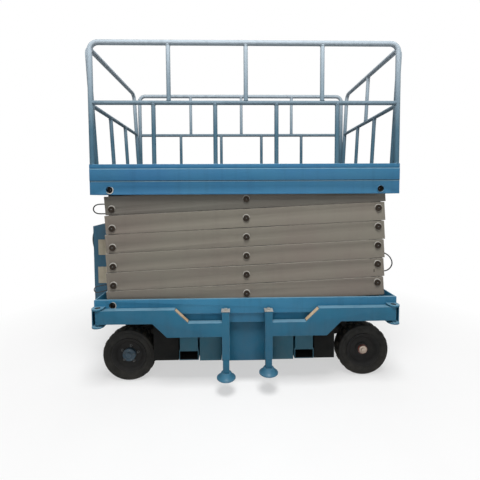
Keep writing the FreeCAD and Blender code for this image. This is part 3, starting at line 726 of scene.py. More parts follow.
@dataclass(frozen=True)
class Finish:
    """A surface finish, made once and laid on any number of pieces."""

    name: str

    def on(self, piece: Piece) -> Piece:
        """Lays the finish on a piece.

        Args:
            piece: The piece to dress.

        Returns:
            The same piece.
        """
        piece.data.materials.clear()
        piece.data.materials.append(self.material())
        return piece

    def material(self) -> bpy.types.Material:
        """Finds the finish's material, or makes it.

        Returns:
            The material.
        """
        made = bpy.data.materials.get(self.name)
        if made is None:
            made = bpy.data.materials.new(self.name)
            made.use_nodes = True
            bench = NodeBench(made.node_tree)
            shader = bench.add("ShaderNodeBsdfPrincipled")
            bench.add("ShaderNodeOutputMaterial", {"Surface": shader.outputs[0]})
            self.dress(bench, shader)
        return made

    def dress(self, bench: NodeBench, shader: bpy.types.Node) -> None:
        """Feeds the shader on the bench. Each kind of finish has its own way."""
        raise NotImplementedError


@dataclass(frozen=True)
class Paint(Finish):
    """Machine enamel: cloudy tone, run marks, low dust, thin worn edges, a painted highlight on
    faces that look up and painted shade on faces that look down.
    """

    light: Colour
    dark: Colour
    scale: float = 1.3
    roughness: float = 0.46
    dust_top: float = 1.2
    dust_amount: float = 0.14
    run_amount: float = 0.30
    wear: float = 0.55
    bare: Colour = (0.30, 0.33, 0.35)
    coat: float = 0.05
    gloss: float = 0.25
    # amount of the painted highlight on upward faces, of the painted shade on downward faces, then
    # their colours
    up_highlight: float = 0.0
    down_shade: float = 0.3
    up_highlight_colour: Colour = (0.20, 0.36, 0.46)
    down_shade_colour: Colour = (0.012, 0.010, 0.008)
    dusty: Colour = (0.16, 0.14, 0.11)
    run_shade: float = 0.55
    worn_edge: float = 0.004

    def dress(self, bench: NodeBench, shader: bpy.types.Node) -> None:
        """Feeds the shader with the enamel's layers.

        Args:
            bench: The material's node bench.
            shader: Its Principled BSDF.
        """
        tone = self.enamel(bench)
        # a painted highlight on faces that look up
        up = Effects.facing(bench, Way=1.0, Amount=self.up_highlight)
        tone = bench.mix(up, tone, self.up_highlight_colour)
        # painted shade on faces that look down
        down = Effects.facing(bench, Way=-1.0, Amount=self.down_shade)
        tone = bench.mix(down, tone, self.down_shade_colour)
        run = Effects.runs(bench, Amount=self.run_amount)
        tone = bench.mix(run, tone, tuple(self.run_shade * c for c in self.dark))
        dust = Effects.dust(bench, Top=self.dust_top, Amount=self.dust_amount)
        tone = bench.mix(dust, tone, self.dusty)
        edge = Effects.edge_wear(bench, Radius=self.worn_edge, Amount=self.wear)
        tone = bench.mix(edge, tone, self.bare)
        matt = bench.span(dust, 0.0, 0.5, self.roughness, self.roughness + 0.25)
        bench.feed(shader, {
            "Base Color": tone,
            "Roughness": bench.math("ADD", matt, bench.patchy(5.0, -0.05, 0.05)),
            "Normal": Effects.grain(bench, Scale=160.0, Depth=0.0004),
            "Coat Weight": self.coat,
            "Coat Roughness": 0.25,
            "Specular IOR Level": self.gloss,
        })

    def enamel(self, bench: NodeBench) -> Socket:
        """The colour of the coat itself, under dust and wear."""
        return Effects.mottle(bench, Light=self.light, Dark=self.dark, Scale=self.scale)


@dataclass(frozen=True)
class PaleTopPaint(Paint):
    """Enamel that turns paler and greyer between two heights, towards the top."""

    pale_top: Colour = (0.30, 0.34, 0.38)
    fade_from: float = 2.2
    fade_to: float = 3.3

    def enamel(self, bench: NodeBench) -> Socket:
        """The colour of the coat, paler towards the top."""
        fade = bench.span(bench.place("Z"), self.fade_from, self.fade_to)
        return bench.mix(fade, super().enamel(bench), self.pale_top)


@dataclass(frozen=True)
class Metal(Finish):
    """Bare or plated metal with a brushed grain and stains."""

    bright: Colour
    stain: Colour
    roughness: float = 0.32
    scale: float = 9.0
    metallic: float = 1.0
    gloss: float = 0.5

    def dress(self, bench: NodeBench, shader: bpy.types.Node) -> None:
        """Feeds the shader with the metal's tone and grain.

        Args:
            bench: The material's node bench.
            shader: Its Principled BSDF.
        """
        tone = Effects.mottle(bench, Light=self.bright, Dark=self.stain, Scale=self.scale)
        bench.feed(shader, {
            "Base Color": tone,
            "Roughness": bench.patchy(60.0, self.roughness - 0.08, self.roughness + 0.12),
            "Normal": Effects.grain(bench, Scale=420.0, Depth=0.0002),
            "Metallic": self.metallic,
            "Specular IOR Level": self.gloss,
        })


@dataclass(frozen=True)
class Rubber(Finish):
    """Black rubber, greyed with road dust where it is asked for."""

    black: Colour
    dusty: Colour
    dust_top: float = 0.8
    dust_amount: float = 0.6
    depth: float = 0.0008
    worn: float = 1.7

    def dress(self, bench: NodeBench, shader: bpy.types.Node) -> None:
        """Feeds the shader with the rubber's tone and grain.

        Args:
            bench: The material's node bench.
            shader: Its Principled BSDF.
        """
        worn = tuple(self.worn * c for c in self.black)
        tone = Effects.mottle(bench, Light=self.black, Dark=worn, Scale=11.0)
        dust = Effects.dust(bench, Top=self.dust_top, Amount=self.dust_amount)
        bench.feed(shader, {
            "Base Color": bench.mix(dust, tone, self.dusty),
            "Roughness": bench.patchy(18.0, 0.62, 0.88),
            "Normal": Effects.grain(bench, Scale=150.0, Depth=self.depth),
            "Specular IOR Level": 0.2,
        })


@dataclass(frozen=True)
class Reflector(Finish):
    """Amber reflective tape with fine cells in it."""

    amber: Colour
    pale: Colour

    def dress(self, bench: NodeBench, shader: bpy.types.Node) -> None:
        """Feeds the shader with the tape's cells.

        Args:
            bench: The material's node bench.
            shader: Its Principled BSDF.
        """
        cells = bench.add("ShaderNodeTexVoronoi", {"Vector": bench.place(), "Scale": 260.0})
        depth = cells.outputs["Distance"]
        tone = Effects.mottle(bench, Light=self.amber, Dark=self.pale, Scale=14.0)
        bump = bench.add("ShaderNodeBump", {"Strength": 0.3, "Distance": 0.0006, "Height": depth})
        bench.feed(shader, {
            "Base Color": bench.mix(bench.span(depth, 0.0, 0.9, 0.0, 0.25), tone, self.pale),
            "Roughness": bench.patchy(30.0, 0.25, 0.4),
            "Normal": bump.outputs[0],
        })


@dataclass(frozen=True)
class TreadPlate(Paint):
    """Painted chequered sheet, trodden bare on its raised lozenges."""

    def dress(self, bench: NodeBench, shader: bpy.types.Node) -> None:
        """Feeds the shader with the sheet's pattern.

        Args:
            bench: The material's node bench.
            shader: Its Principled BSDF.
        """
        height = Effects.tread_plate(bench, Pitch=0.03)
        trodden = bench.math("MULTIPLY", height, bench.span(bench.noise(2.5), 0.35, 0.65, 0.1, 0.8))
        bump = bench.add("ShaderNodeBump", {"Strength": 0.8, "Distance": 0.002, "Height": height})
        bench.feed(shader, {
            "Base Color": bench.mix(trodden, self.enamel(bench), self.bare),
            "Roughness": bench.span(trodden, 0.0, 0.8, 0.55, 0.32),
            "Normal": bump.outputs[0],
        })


class Finishes:
    """The machine's finishes, named after what they cover."""

    SKIRT = Paint("skirt_blue", (0.024, 0.120, 0.215), (0.018, 0.104, 0.212), 0.9,
                  dust_top=0.9, run_amount=0.22, up_highlight=0.8)
    CHASSIS = Paint("chassis_blue", (0.023, 0.144, 0.250), (0.019, 0.124, 0.222), 1.1, up_highlight=0.6)
    OUTRIGGER = Paint("outrigger_blue", (0.009, 0.100, 0.172), (0.007, 0.085, 0.152), 1.6,
                      up_highlight=0.65)
    JACK = Paint("jack_blue", (0.009, 0.100, 0.172), (0.007, 0.085, 0.152), 1.6, up_highlight=0.18)
    # a darker teal than the middle housing's blue: painted shade of the low beams over the side
    # boxes
    BOX_TEAL_SHADE = Paint("belly_teal_painted_shade", (0.011, 0.084, 0.126), (0.008, 0.070, 0.106), 2.0,
                     wear=0.3, up_highlight=0.4)
    RAIL = PaleTopPaint("rail_blue", (0.060, 0.122, 0.165), (0.046, 0.102, 0.145), 2.4,
                      roughness=0.6, wear=0.15, dust_amount=0.0, coat=0.0, gloss=0.12,
                      up_highlight=0.6, up_highlight_colour=(0.09, 0.12, 0.14),
                      pale_top=(0.34, 0.395, 0.44), fade_from=2.5, fade_to=3.32)
    # light strips along the skirts' edges are painted highlights; the dark strip in their seam is
    # painted shade
    LINE = Paint("edge_painted_highlight", (0.16, 0.30, 0.40), (0.10, 0.24, 0.34), 3.0, wear=0.2)
    SEAM_SHADE = Paint("seam_painted_shade", (0.010, 0.035, 0.060), (0.007, 0.028, 0.050), 3.0, wear=0.0, coat=0.0)
    ARM = Paint("arm_grey", (0.150, 0.138, 0.113), (0.140, 0.117, 0.100), 0.8,
                roughness=0.5, dust_amount=0.1, run_amount=0.10, bare=(0.36, 0.34, 0.31), coat=0.0,
                up_highlight=1.0, up_highlight_colour=(0.56, 0.53, 0.47), down_shade=0.95)
    # the top tier's arms in a darker grey: painted shade of the platform above them
    ARM_TOP_SHADE = Paint("arm_grey_top_painted_shade", (0.098, 0.093, 0.079), (0.092, 0.080, 0.070), 0.8,
                    roughness=0.5, dust_amount=0.1, run_amount=0.10, bare=(0.36, 0.34, 0.31),
                    coat=0.0, up_highlight=0.6, up_highlight_colour=(0.40, 0.38, 0.34), down_shade=0.95)
    CABINET = Paint("cabinet_blue", (0.030, 0.102, 0.160), (0.024, 0.082, 0.132), 2.2, up_highlight=0.3)
    # near-black for the parts under the machine: black parts, darkened as painted shade of the
    # underside
    UNDERSIDE_BLACK_SHADE = Paint("underside_black_painted_shade", (0.005, 0.006, 0.006), (0.008, 0.008, 0.008), 3.0,
                      roughness=0.8, dust_amount=0.03, wear=0.05, coat=0.0, gloss=0.1)
    RIM = Paint("rim_black", (0.006, 0.006, 0.006), (0.009, 0.009, 0.009), 6.0,
                roughness=0.65, dust_amount=0.05, wear=0.06, coat=0.0, gloss=0.2)
    HUB = Paint("hub_blue", (0.028, 0.062, 0.092), (0.019, 0.044, 0.066), 9.0, wear=0.5,
                dust_amount=0.2)
    BARREL = Paint("cylinder_black", (0.012, 0.013, 0.014), (0.020, 0.019, 0.018), 4.0,
                   roughness=0.4)
    PLATE = Paint("blank_plate", (0.37, 0.33, 0.25), (0.31, 0.27, 0.20), 5.0, roughness=0.5,
                  dust_amount=0.1, wear=0.2)
    RED = Paint("bearing_ring_red", (0.20, 0.035, 0.020), (0.12, 0.025, 0.018), 20.0,
                roughness=0.55)
    # near-black brown: painted shade in holes, recesses and slots, and the dark backing under the
    # amber tape
    HOLE_SHADE_AND_BACKING = Paint("hole_painted_shade_and_backing", (0.012, 0.009, 0.007), (0.020, 0.014, 0.011), 12.0, roughness=0.8,
                 wear=0.0, coat=0.0)
    DECK = TreadPlate("deck_sheet", (0.12, 0.16, 0.19), (0.09, 0.12, 0.15), 3.0,
                      bare=(0.36, 0.36, 0.36))
    PIN = Metal("pin_brown", (0.026, 0.019, 0.014), (0.014, 0.010, 0.007), 0.75, metallic=0.0,
                gloss=0.15)
    WASHER = Metal("washer_zinc", (0.42, 0.41, 0.38), (0.30, 0.28, 0.25), 0.45, metallic=0.2)
    NUT = Metal("nut_steel", (0.10, 0.105, 0.105), (0.055, 0.055, 0.052), 0.5, metallic=0.2)
    BOLT = Metal("bolt_zinc", (0.62, 0.61, 0.58), (0.42, 0.40, 0.37), 0.30)
    CHROME = Metal("rod_chrome", (0.80, 0.81, 0.82), (0.72, 0.73, 0.75), 0.12)
    BRONZE = Metal("bearing_cap", (0.42, 0.35, 0.29), (0.26, 0.21, 0.17), 0.32, 24.0)
    TREAD = Rubber("tread_rubber", (0.022, 0.020, 0.016), (0.085, 0.072, 0.055), 0.9, 0.7)
    TYRE = Rubber("tyre_rubber", (0.0085, 0.0085, 0.0078), (0.050, 0.044, 0.036), 0.75, 0.40)
    HOSE = Rubber("hose_rubber", (0.003, 0.003, 0.0035), (0.04, 0.036, 0.03), 1.0, 0.0, 0.0003)
    TAPE = Reflector("amber_tape", (0.46, 0.29, 0.14), (0.62, 0.47, 0.32))


@dataclass
class Studio:
    """A pale floor, soft light and the camera that took the photograph's view.

    The camera's place counts from the middle of the mast.
    """

    layout: Layout
    camera_place: Vector = field(default_factory=lambda: Vector((-0.1275, -3.7109, 1.8821)))
    turn_left: float = math.radians(-1.31)
    look_down: float = math.radians(2.71)
    roll: float = math.radians(-0.33)
    lens: float = 23.32
    sensor: float = 36.0
    rise: float = -0.0596
    floor_radius: float = 26.0
    floor_sides: int = 96
    soft_world: float = 0.20
    floor_tones: tuple[Colour, Colour] = ((0.86, 0.86, 0.86), (0.89, 0.89, 0.885))
    # where the floor starts and ends to fade, and how white it is seen there
    floor_fade: tuple[float, float, float, float] = (1.6, 4.0, 0.55, 1.0)
    lamp_aim: float = 1.6
    # name, place, size, power in watts
    lamps: tuple[tuple[str, Point, float, float], ...] = (
        ("key", (-4.0, -8.0, 4.0), 5.0, 110.0),
        ("fill", (4.5, -8.0, 2.2), 5.0, 95.0),
        ("top", (0.2, -3.8, 7.4), 2.6, 560.0),
        ("back", (0.0, 7.0, 5.0), 5.0, 150.0),
    )

    def build(self) -> None:
        """Sets up the camera, the floor, the world and the lamps."""
        self.camera()
        self.floor()
        self.world()
        for name, place, size, power in self.lamps:
            self.lamp(name, Vector(place), size, power)
        bpy.context.scene.view_settings.view_transform = "Standard"

    def camera(self) -> None:
        """Aims the camera, with the small shift of the photograph's crop."""
        c, s = math.cos(self.turn_left), math.sin(self.turn_left)
        right, ahead = Vector((c, s, 0)), Vector((-s, c, 0))
        c, s = math.cos(self.look_down), math.sin(self.look_down)
        forward, up = ahead * c - Z * s, ahead * s + Z * c
        c, s = math.cos(self.roll), math.sin(self.roll)
        right, up = right * c + up * s, up * c - right * s
        Bench.clear()
        bpy.ops.object.camera_add(location=self.camera_place + X * self.layout.centre_x)
        camera = bpy.context.object
        camera.name = "camera"
        turn = Matrix((right, up, -forward)).transposed()
        camera.rotation_euler = turn.to_euler()
        camera.data.sensor_width = self.sensor
        camera.data.lens = self.lens
        camera.data.shift_y = self.rise
        camera.data.dof.use_dof = False
        bpy.context.scene.camera = camera

    def floor(self) -> None:
        """Lays the pale floor, which fades into the white background far out."""
        Bench.clear()
        bpy.ops.mesh.primitive_circle_add(
            vertices=self.floor_sides, radius=self.floor_radius, fill_type="NGON")
        floor = bpy.context.object
        floor.name = "floor"
        made = bpy.data.materials.new("floor_pale")
        made.use_nodes = True
        bench = NodeBench(made.node_tree)
        reach = bench.add("ShaderNodeVectorMath", {0: bench.place()}, operation="LENGTH")
        cloud = bench.span(bench.noise(1.2, detail=3.0), *bench.broad)
        tone = bench.mix(cloud, *self.floor_tones)
        matt = bench.add("ShaderNodeBsdfPrincipled", {"Base Color": tone, "Roughness": 0.9})
        glow = bench.add("ShaderNodeEmission", {"Strength": 1.0})
        rays = bench.add("ShaderNodeLightPath").outputs["Is Camera Ray"]
        fade = bench.span(reach.outputs["Value"], *self.floor_fade)
        far = bench.math("MULTIPLY", fade, rays)
        both = bench.add("ShaderNodeMixShader", {0: far, 1: matt.outputs[0], 2: glow.outputs[0]})
        bench.add("ShaderNodeOutputMaterial", {"Surface": both.outputs[0]})
        floor.data.materials.append(made)

    def world(self) -> None:
        """Lights the scene evenly, and shows plain white behind it."""
        world = bpy.data.worlds.new("studio")
        world.use_nodes = True
        bpy.context.scene.world = world
        bench = NodeBench(world.node_tree)
        path = bench.add("ShaderNodeLightPath")
        seen = bench.math("MAXIMUM", path.outputs["Is Camera Ray"], path.outputs["Is Glossy Ray"])
        seen = bench.math("MAXIMUM", seen, path.outputs["Is Transmission Ray"])
        soft = bench.add("ShaderNodeBackground", {"Strength": self.soft_world})
        white = bench.add("ShaderNodeBackground", {"Color": (1, 1, 1, 1), "Strength": 1.0})
        both = bench.add("ShaderNodeMixShader", {0: seen, 1: soft.outputs[0], 2: white.outputs[0]})
        bench.add("ShaderNodeOutputWorld", {"Surface": both.outputs[0]})

    def lamp(self, name: str, place: Vector, size: float, power: float) -> None:
        """Hangs one soft square lamp, turned to the middle of the machine.

        Args:
            name: The lamp's name.
            place: Where it hangs.
            size: The length of its side.
            power: Its power in watts.
        """
        Bench.clear()
        aim = (Z * self.lamp_aim - place).to_track_quat("-Z", "Y").to_euler()
        bpy.ops.object.light_add(type="AREA", location=place, rotation=aim)
        lamp = bpy.context.object
        lamp.name = f"{name}_lamp"
        lamp.data.size = size
        lamp.data.energy = power


@dataclass(frozen=True)
class Route:
    """A hose's way from one ferrule to the other, in the plane that its CAD tube lies in."""

    node: str
    body: str
    radius: float
    length: float
    stiffness: str
    points: tuple[Pair, ...]


@dataclass
class Hoses:
    """The hoses that loop out of the mast's ends, and the lead on the cabinet."""

    layout: Layout
    order: int = 3
    steps: int = 12
    section_steps: int = 4
    # x from the middle of the mast, and z
    routes: tuple[Route, ...] = (
        Route("hose_inner_5_left", "inner_5", 0.006, 0.444, "medium", (
            (-1.330, 1.814), (-1.440, 1.817), (-1.508, 1.808), (-1.533, 1.764), (-1.506, 1.722),
            (-1.430, 1.716), (-1.330, 1.724),
        )),
        Route("hose_inner_1_left", "inner_1", 0.0045, 0.469, "limp", (
            (-1.330, 1.006), (-1.405, 1.001), (-1.486, 0.985), (-1.530, 0.9735),
            (-1.5435, 0.9525), (-1.538, 0.9285), (-1.517, 0.915), (-1.473, 0.924),
            (-1.402, 0.943), (-1.330, 0.972),
        )),
        Route("hose_inner_3_right", "inner_3", 0.006, 0.632, "medium", (
            (1.258, 1.290), (1.385, 1.314), (1.484, 1.270), (1.526, 1.180), (1.470, 1.105),
            (1.365, 1.106), (1.258, 1.160),
        )),
        Route("cabinet_lead", "chassis", 0.008, 0.276, "medium", (
            (-1.664, 1.262), (-1.664, 1.310), (-1.680, 1.385), (-1.680, 1.450),
            (-1.664, 1.505), (-1.664, 1.535),
        )),
    )

    def build(self) -> None:
        """Draws every hose in place of its CAD tube."""
        for route in self.routes:
            self.hose(route)

    def hose(self, route: Route) -> None:
        """Draws one hose as a smooth curve with a round section.

        Args:
            route: Its way, section and carrier.
        """
        low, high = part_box(route.node)
        y = (low.y + high.y) / 2
        Bench.clear()
        bpy.ops.curve.primitive_nurbs_path_add()
        piece = bpy.context.object
        piece.name = piece.data.name = f"{route.node}_run"
        piece.data.splines.clear()
        spline = piece.data.splines.new("NURBS")
        spline.points.add(len(route.points) - 1)
        for point, (x, z) in zip(spline.points, route.points):
            point.co = (self.layout.centre_x + x, y, z, 1)
        spline.order_u = self.order
        spline.use_endpoint_u = True
        spline.resolution_u = self.steps
        piece.data.dimensions = "3D"
        piece.data.bevel_depth = route.radius
        piece.data.bevel_resolution = self.section_steps
        piece.data.use_fill_caps = True
        Finishes.HOSE.on(piece)
        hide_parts(route.node)
        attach(piece, route.body)
        log.info("%s rides on %s", piece.name, route.body)


@dataclass
class GuardRails:
    """Four welded panels of round tube around the deck."""

    layout: Layout
    tube: float = 0.024
    post: float = 0.020
    bend: float = 0.076
    bend_steps: int = 8
    toe: float = 0.042
    toe_foot: float = 0.0005
    toe_bevel: float = 0.005
    toe_paint: float = 0.044
    mid: float = 0.608
    lean: float = math.radians(2.7)
    bead: float = 0.0035
    bead_sides: int = 6
    sides: int = 20
    posts_above: dict[str, int] = field(default_factory=lambda: {"near": 3, "right": 1, "left": 0})
    # on a side panel and on an end panel
    posts_below: tuple[int, int] = (4, 2)

    def build(self) -> None:
        """Builds the near panel and its mirror, then the two end panels."""
        low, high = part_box("rail_near")
        deck_z = low.z
        height = high.z - self.tube - deck_z
        half = (high.x - low.x) / 2 - self.tube
        panel = self.panel(half, height, self.posts_above["near"], self.posts_below[0])
        Bench.shift(panel, Vector((self.layout.centre_x, (low.y + high.y) / 2, deck_z)))
        panels = {"near": panel, "far": Bench.mirrored(panel, Across.SIDES)}
        low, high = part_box("rail_right")
        half = (high.y - low.y) / 2 - self.tube
        foot = low.x + self.tube - self.layout.centre_x
        for side, way in (("right", 1), ("left", -1)):
            end = self.panel(half, height, self.posts_above[side], self.posts_below[1])
            Bench.turn(end, Vector(), Z, math.pi / 2)
            Bench.turn(end, Vector(), Y, way * self.lean)
            Bench.shift(end, Vector((self.layout.centre_x + way * foot, 0, deck_z)))
            panels[side] = end
        for side, piece in panels.items():
            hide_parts(f"rail_{side}")
            Bench.fit(piece, f"guard_rail_{side}", "platform", Finishes.RAIL, "rail_paint")
            Bench.repaint(piece, Finishes.SKIRT, lambda c, n: c.z < deck_z + self.toe_paint)

    def panel(self, half: float, height: float, above: int, below: int) -> Piece:
        """Welds one panel together in the XZ plane, standing on z = 0.

        Args:
            half: Half the distance between its end posts.
            height: Height of the top tube's axis.
            above: Posts over the middle tube, apart from the end posts.
            below: Posts under it.

        Returns:
            The panel.
        """
        tube, post = self.tube, self.post
        parts = [
            self.hoop(half, height),
            Bench.block((-half - tube, -tube, self.toe_foot), (half + tube, tube, self.toe),
                        self.toe_bevel),
            Bench.tube(Vector((-half, 0, self.mid)), Vector((half, 0, self.mid)), post, self.sides),
        ]
        for x in (-half, half):
            parts.append(self.weld(Vector((x - math.copysign(tube, x), 0, self.mid)), X, post))
            parts.append(self.weld(Vector((x, 0, self.toe)), Z, tube))
        for count, z0, z1 in ((below, self.toe, self.mid), (above, self.mid, height)):
            for n in range(1, count + 1):
                x = half * (2 * n / (count + 1) - 1)
                parts.append(Bench.tube(Vector((x, 0, z0)), Vector((x, 0, z1)), post, self.sides))
                foot = z0 if z0 == self.toe else z0 + post
                head = z1 - (post if z1 == self.mid else tube)
                for z in (foot, head):
                    parts.append(self.weld(Vector((x, 0, z)), Z, post))
        return Bench.join(parts)

    def hoop(self, half: float, height: float) -> Piece:
        """Bends one tube up, along and down again.

        Args:
            half: Half the distance between its posts.
            height: Height of its top run.

        Returns:
            The tube.
        """
        Bench.clear()
        bpy.ops.mesh.primitive_circle_add(
            vertices=self.sides, radius=self.tube, fill_type="NGON",
            location=(-half, 0, self.toe / 2),
        )
        piece = Bench.settle(bpy.context.object)
        Bench.open(piece, action="SELECT")
        upright = height - self.bend - self.toe / 2
        level = 2 * (half - self.bend)
        for side, run in ((-1, Vector((0, 0, upright))), (1, Vector((level, 0, 0)))):
            bpy.ops.mesh.extrude_region_move(TRANSFORM_OT_translate={"value": run})
            bpy.ops.mesh.spin(
                steps=self.bend_steps, angle=math.pi / 2, axis=(0, -1, 0),
                center=(side * (half - self.bend), 0, height - self.bend),
            )
        bpy.ops.mesh.extrude_region_move(TRANSFORM_OT_translate={"value": (0, 0, -upright)})
        return Bench.close(piece, outward=True)

    def weld(self, place: Vector, axis: Vector, radius: float) -> Piece:
        """Lays a weld bead around a tube.

        Args:
            place: The joint.
            axis: The tube's direction.
            radius: The tube's radius.

        Returns:
            The bead.
        """
        Bench.clear()
        bpy.ops.mesh.primitive_torus_add(
            major_segments=self.sides, minor_segments=self.bead_sides,
            major_radius=radius, minor_radius=self.bead,
            location=place, rotation=axis.to_track_quat("Z", "Y").to_euler(),
        )
        return Bench.settle(bpy.context.object)


@dataclass
class Platform:
    """The deck with its skirts, seams and pin holes."""

    layout: Layout
    hole: float = 0.031
    collar: float = 0.007
    seam_drop: float = 0.110
    seam: float = 0.0090
    lip: float = 0.0035
    edge: float = 0.0065
    strip_proud: float = 0.0003
    strip_depth: float = 0.002
    strip_bevel: float = 0.0002
    frame_bevel: float = 0.002
    deck_bevel: float = 0.001

    def build(self) -> None:
        """Dresses the platform's frame and deck."""
        Bench.softened("platform_frame", self.frame_bevel, Finishes.SKIRT, "skirt_paint")
        Bench.softened("deck_plate", self.deck_bevel, Finishes.DECK, "deck_steel")
        self.hole_collars()
        self.edge_lines()

    def edge_lines(self) -> None:
        """Draws light strips on the skirts' upper edge and on the lip under the seam, painted
        highlights of their rounded edges, and a dark strip in the seam, painted shade.
        """
        low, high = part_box("platform_frame")
        proud, depth = self.strip_proud, self.strip_depth
        parts = []
        # how far under the deck, height, finish
        strips = (
            (0.0, self.edge, Finishes.LINE),
            (self.seam_drop, self.seam, Finishes.SEAM_SHADE),
            (self.seam_drop + self.seam, self.lip, Finishes.LINE),
        )
        for drop, height, finish in strips:
            top = high.z - drop - proud
            strip = Bench.block((low.x + depth, low.y - proud, top - height),
                                (high.x - depth, low.y + depth, top), self.strip_bevel, 1)
            parts.append(finish.on(strip))
        piece = Bench.both_sides(Bench.join(parts))
        Bench.fit(piece, "skirt_edge_lines", "platform", None, "skirt_paint", Smooth.PLATE)

    def hole_collars(self) -> None:
        """Rings the skirts' pin holes: the left one's edge shows bright, the right one's not."""
        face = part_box("platform_frame")[0].y
        z = self.layout.pin_z(self.layout.tiers)
        for end, sign, finish in (("left", -1, Finishes.WASHER), ("right", 1, Finishes.SKIRT)):
            x = self.layout.centre_x + sign * self.layout.half_span
            near = bright_side_collar(Vector((x, face, z)), self.hole, self.collar, X - Z,
                               Finishes.SKIRT, finish)
            piece = Bench.both_sides(near)
            Bench.fit(piece, f"skirt_hole_collars_{end}", "platform", None, "skirt_paint")


def bright_side_collar(middle: Vector, hole: float, width: float, towards: Vector, coat: Finish,
                worn: Finish, proud: float = 0.003) -> Piece:
    """Turns a flat collar that is wide on the side where it shows bright, and thin opposite.

    Args:
        middle: The middle of the hole or pin on the near plate's outer face.
        hole: The hole's or pin's radius.
        width: The collar's width on its wide side.
        towards: The direction of the wide side.
        coat: The finish of its thin side.
        worn: The finish of its wide side.
        proud: How far it stands out of the plate.

    Returns:
        The collar.
    """
    play, rest, sunk, bevel, sides = 0.0003, 0.0008, 0.003, 0.001, 36
    inner, outer = hole - play, hole + width / 2 + rest
    collar = Bench.ring(middle, -Y, [
        (inner, -sunk), (inner, proud - bevel), (inner + bevel, proud),
        (outer - bevel, proud), (outer, proud - bevel), (outer, -sunk),
    ], sides)
    Bench.open(collar, "VERT")
    Bench.pick_verts(collar, lambda co: (co - middle).xz.length > (inner + outer) / 2)
    bpy.ops.transform.translate(value=towards.normalized() * (width / 2))
    coat.on(Bench.close(collar))
    return Bench.repaint(collar, worn, lambda c, n: (c - middle).dot(towards) > 0)


@dataclass
class ScissorStack:
    """Six tiers of crossed arms with their pins, tubes and rollers."""

    layout: Layout
    stub: float = 0.029
    washer: float = 0.008
    washer_proud: float = 0.004
    # how far the arms' ends are shifted up or down
    levelled: float = 0.0365
    arm_bevel: float = 0.005
    end_reach: float = 0.035
    cap: Profile = ((0.0295, -0.0055), (0.0295, 0.0012), (0.027, 0.0035), (0.014, 0.0035),
                    (0.012, 0.0015), (0.008, 0.0015))
    cap_sides: int = 28
    bolt: Profile = ((0.0050, 0.001), (0.0050, 0.0045), (0.0040, 0.0055), (0.002, 0.0055))
    bolt_sides: int = 12
    # the slot's middle from the right-hand pins of tier 2, and half its size
    slot_place: Pair = (-0.032, 0.116)
    slot_half: Point = (0.0045, 0.0006, 0.0135)
    slot_bevel: float = 0.0004

    def build(self) -> None:
        """Dresses every tier."""
        for tier in range(1, self.layout.tiers + 1):
            # the top tier takes the darker grey, painted shade of the platform above it
            coat = Finishes.ARM_TOP_SHADE if tier == self.layout.tiers else Finishes.ARM
            for name, rising in (("outer_arms", 1), ("inner_arms", -1)):
                Bench.softened(f"{name}_{tier}", self.arm_bevel, coat, "arm_paint",
                               reshape=lambda piece: self.lean(piece, rising))
            Finishes.PIN.on(frame["nodes"][f"cross_shafts_{tier}"])
        Finishes.PIN.on(frame["nodes"]["top_rollers"])
        self.pin_heads()
        self.slot()

    def lean(self, piece: Piece, rising: int) -> None:
        """Levels a pair of arms, so that their end pins sit near opposite edges.

        Args:
            piece: The arms, open in edit mode.
            rising: 1 where they rise to the right, -1 where they rise to the left.
        """
        x0, reach = self.layout.centre_x, self.layout.half_span + self.end_reach
        bpy.ops.mesh.select_mode(type="VERT")
        for end in (-1, 1):
            Bench.pick_verts(piece, lambda co: (co.x - x0) * end > reach)
            bpy.ops.transform.translate(value=(0, 0, -end * rising * self.levelled))

    def places(self) -> dict[str, list[Pair]]:
        """Works out where the arms' pins show.

        Returns:
            For each body, the x and z of its pins.
        """
        x0, half = self.layout.centre_x, self.layout.half_span
        found = {"chassis": [(x0 - half, self.layout.pin_z(0))]}
        for tier in range(1, self.layout.tiers + 1):
            found[f"inner_{tier}"] = [
                (x0 + half, self.layout.pin_z(tier - 1)),
                (x0, self.layout.pin_z(tier - 0.5)),
                (x0 - half, self.layout.pin_z(tier)),
            ]
        found[f"outer_{self.layout.tiers}"] = [(x0 + half, self.layout.pin_z(self.layout.tiers))]
        return found

    def pin_heads(self) -> None:
        """Dresses the pins' ends: a washer whose upper side is a painted highlight, a dark cap and a
        bright centre bolt.
        """
        face, stub = -self.layout.arm_face, -self.layout.stub_face
        for body, places in self.places().items():
            parts = []
            for x, z in places:
                # the washer is zinc-bright on its upper side only, a painted highlight of the pin
                # boss's rim
                washer = bright_side_collar(Vector((x, face, z)), self.stub, self.washer, Z,
                                     Finishes.ARM, Finishes.WASHER, self.washer_proud)
                cap = Bench.turned(Vector((x, stub, z)), -Y, self.cap, self.cap_sides)
                bolt = Bench.turned(Vector((x, stub, z)), -Y, self.bolt, self.bolt_sides)
                parts += [washer, Finishes.PIN.on(cap), Finishes.NUT.on(bolt)]
            piece = Bench.both_sides(Bench.join(parts))
            Bench.fit(piece, f"pin_heads_{body}", body, None, "pin_steel")

    def slot(self) -> None:
        """Lays a dark block of painted shade where the small upright slot shows, under the second
        pin from below at the right end.
        """
        pins = Vector((self.layout.centre_x + self.layout.half_span, -self.layout.arm_face,
                       self.layout.pin_z(1)))
        middle = pins + X * self.slot_place[0] + Z * self.slot_place[1]
        half = Vector(self.slot_half)
        piece = Bench.block(middle - half, middle + half, self.slot_bevel, 1)
        Bench.fit(piece, "arm_slot", "outer_2", Finishes.HOLE_SHADE_AND_BACKING, "arm_paint")


@dataclass
class LiftCylinders:
    """Two pairs of hydraulic cylinders between the inner arms."""

    tiers: tuple[int, ...] = (1, 4)
    bevel: float = 0.002

    def build(self) -> None:
        """Dresses the barrels and rods."""
        for tier in self.tiers:
            Bench.softened(f"barrels_{tier}", self.bevel, Finishes.BARREL, "cylinder_paint")
            Finishes.CHROME.on(frame["nodes"][f"piston_rods_{tier}"])


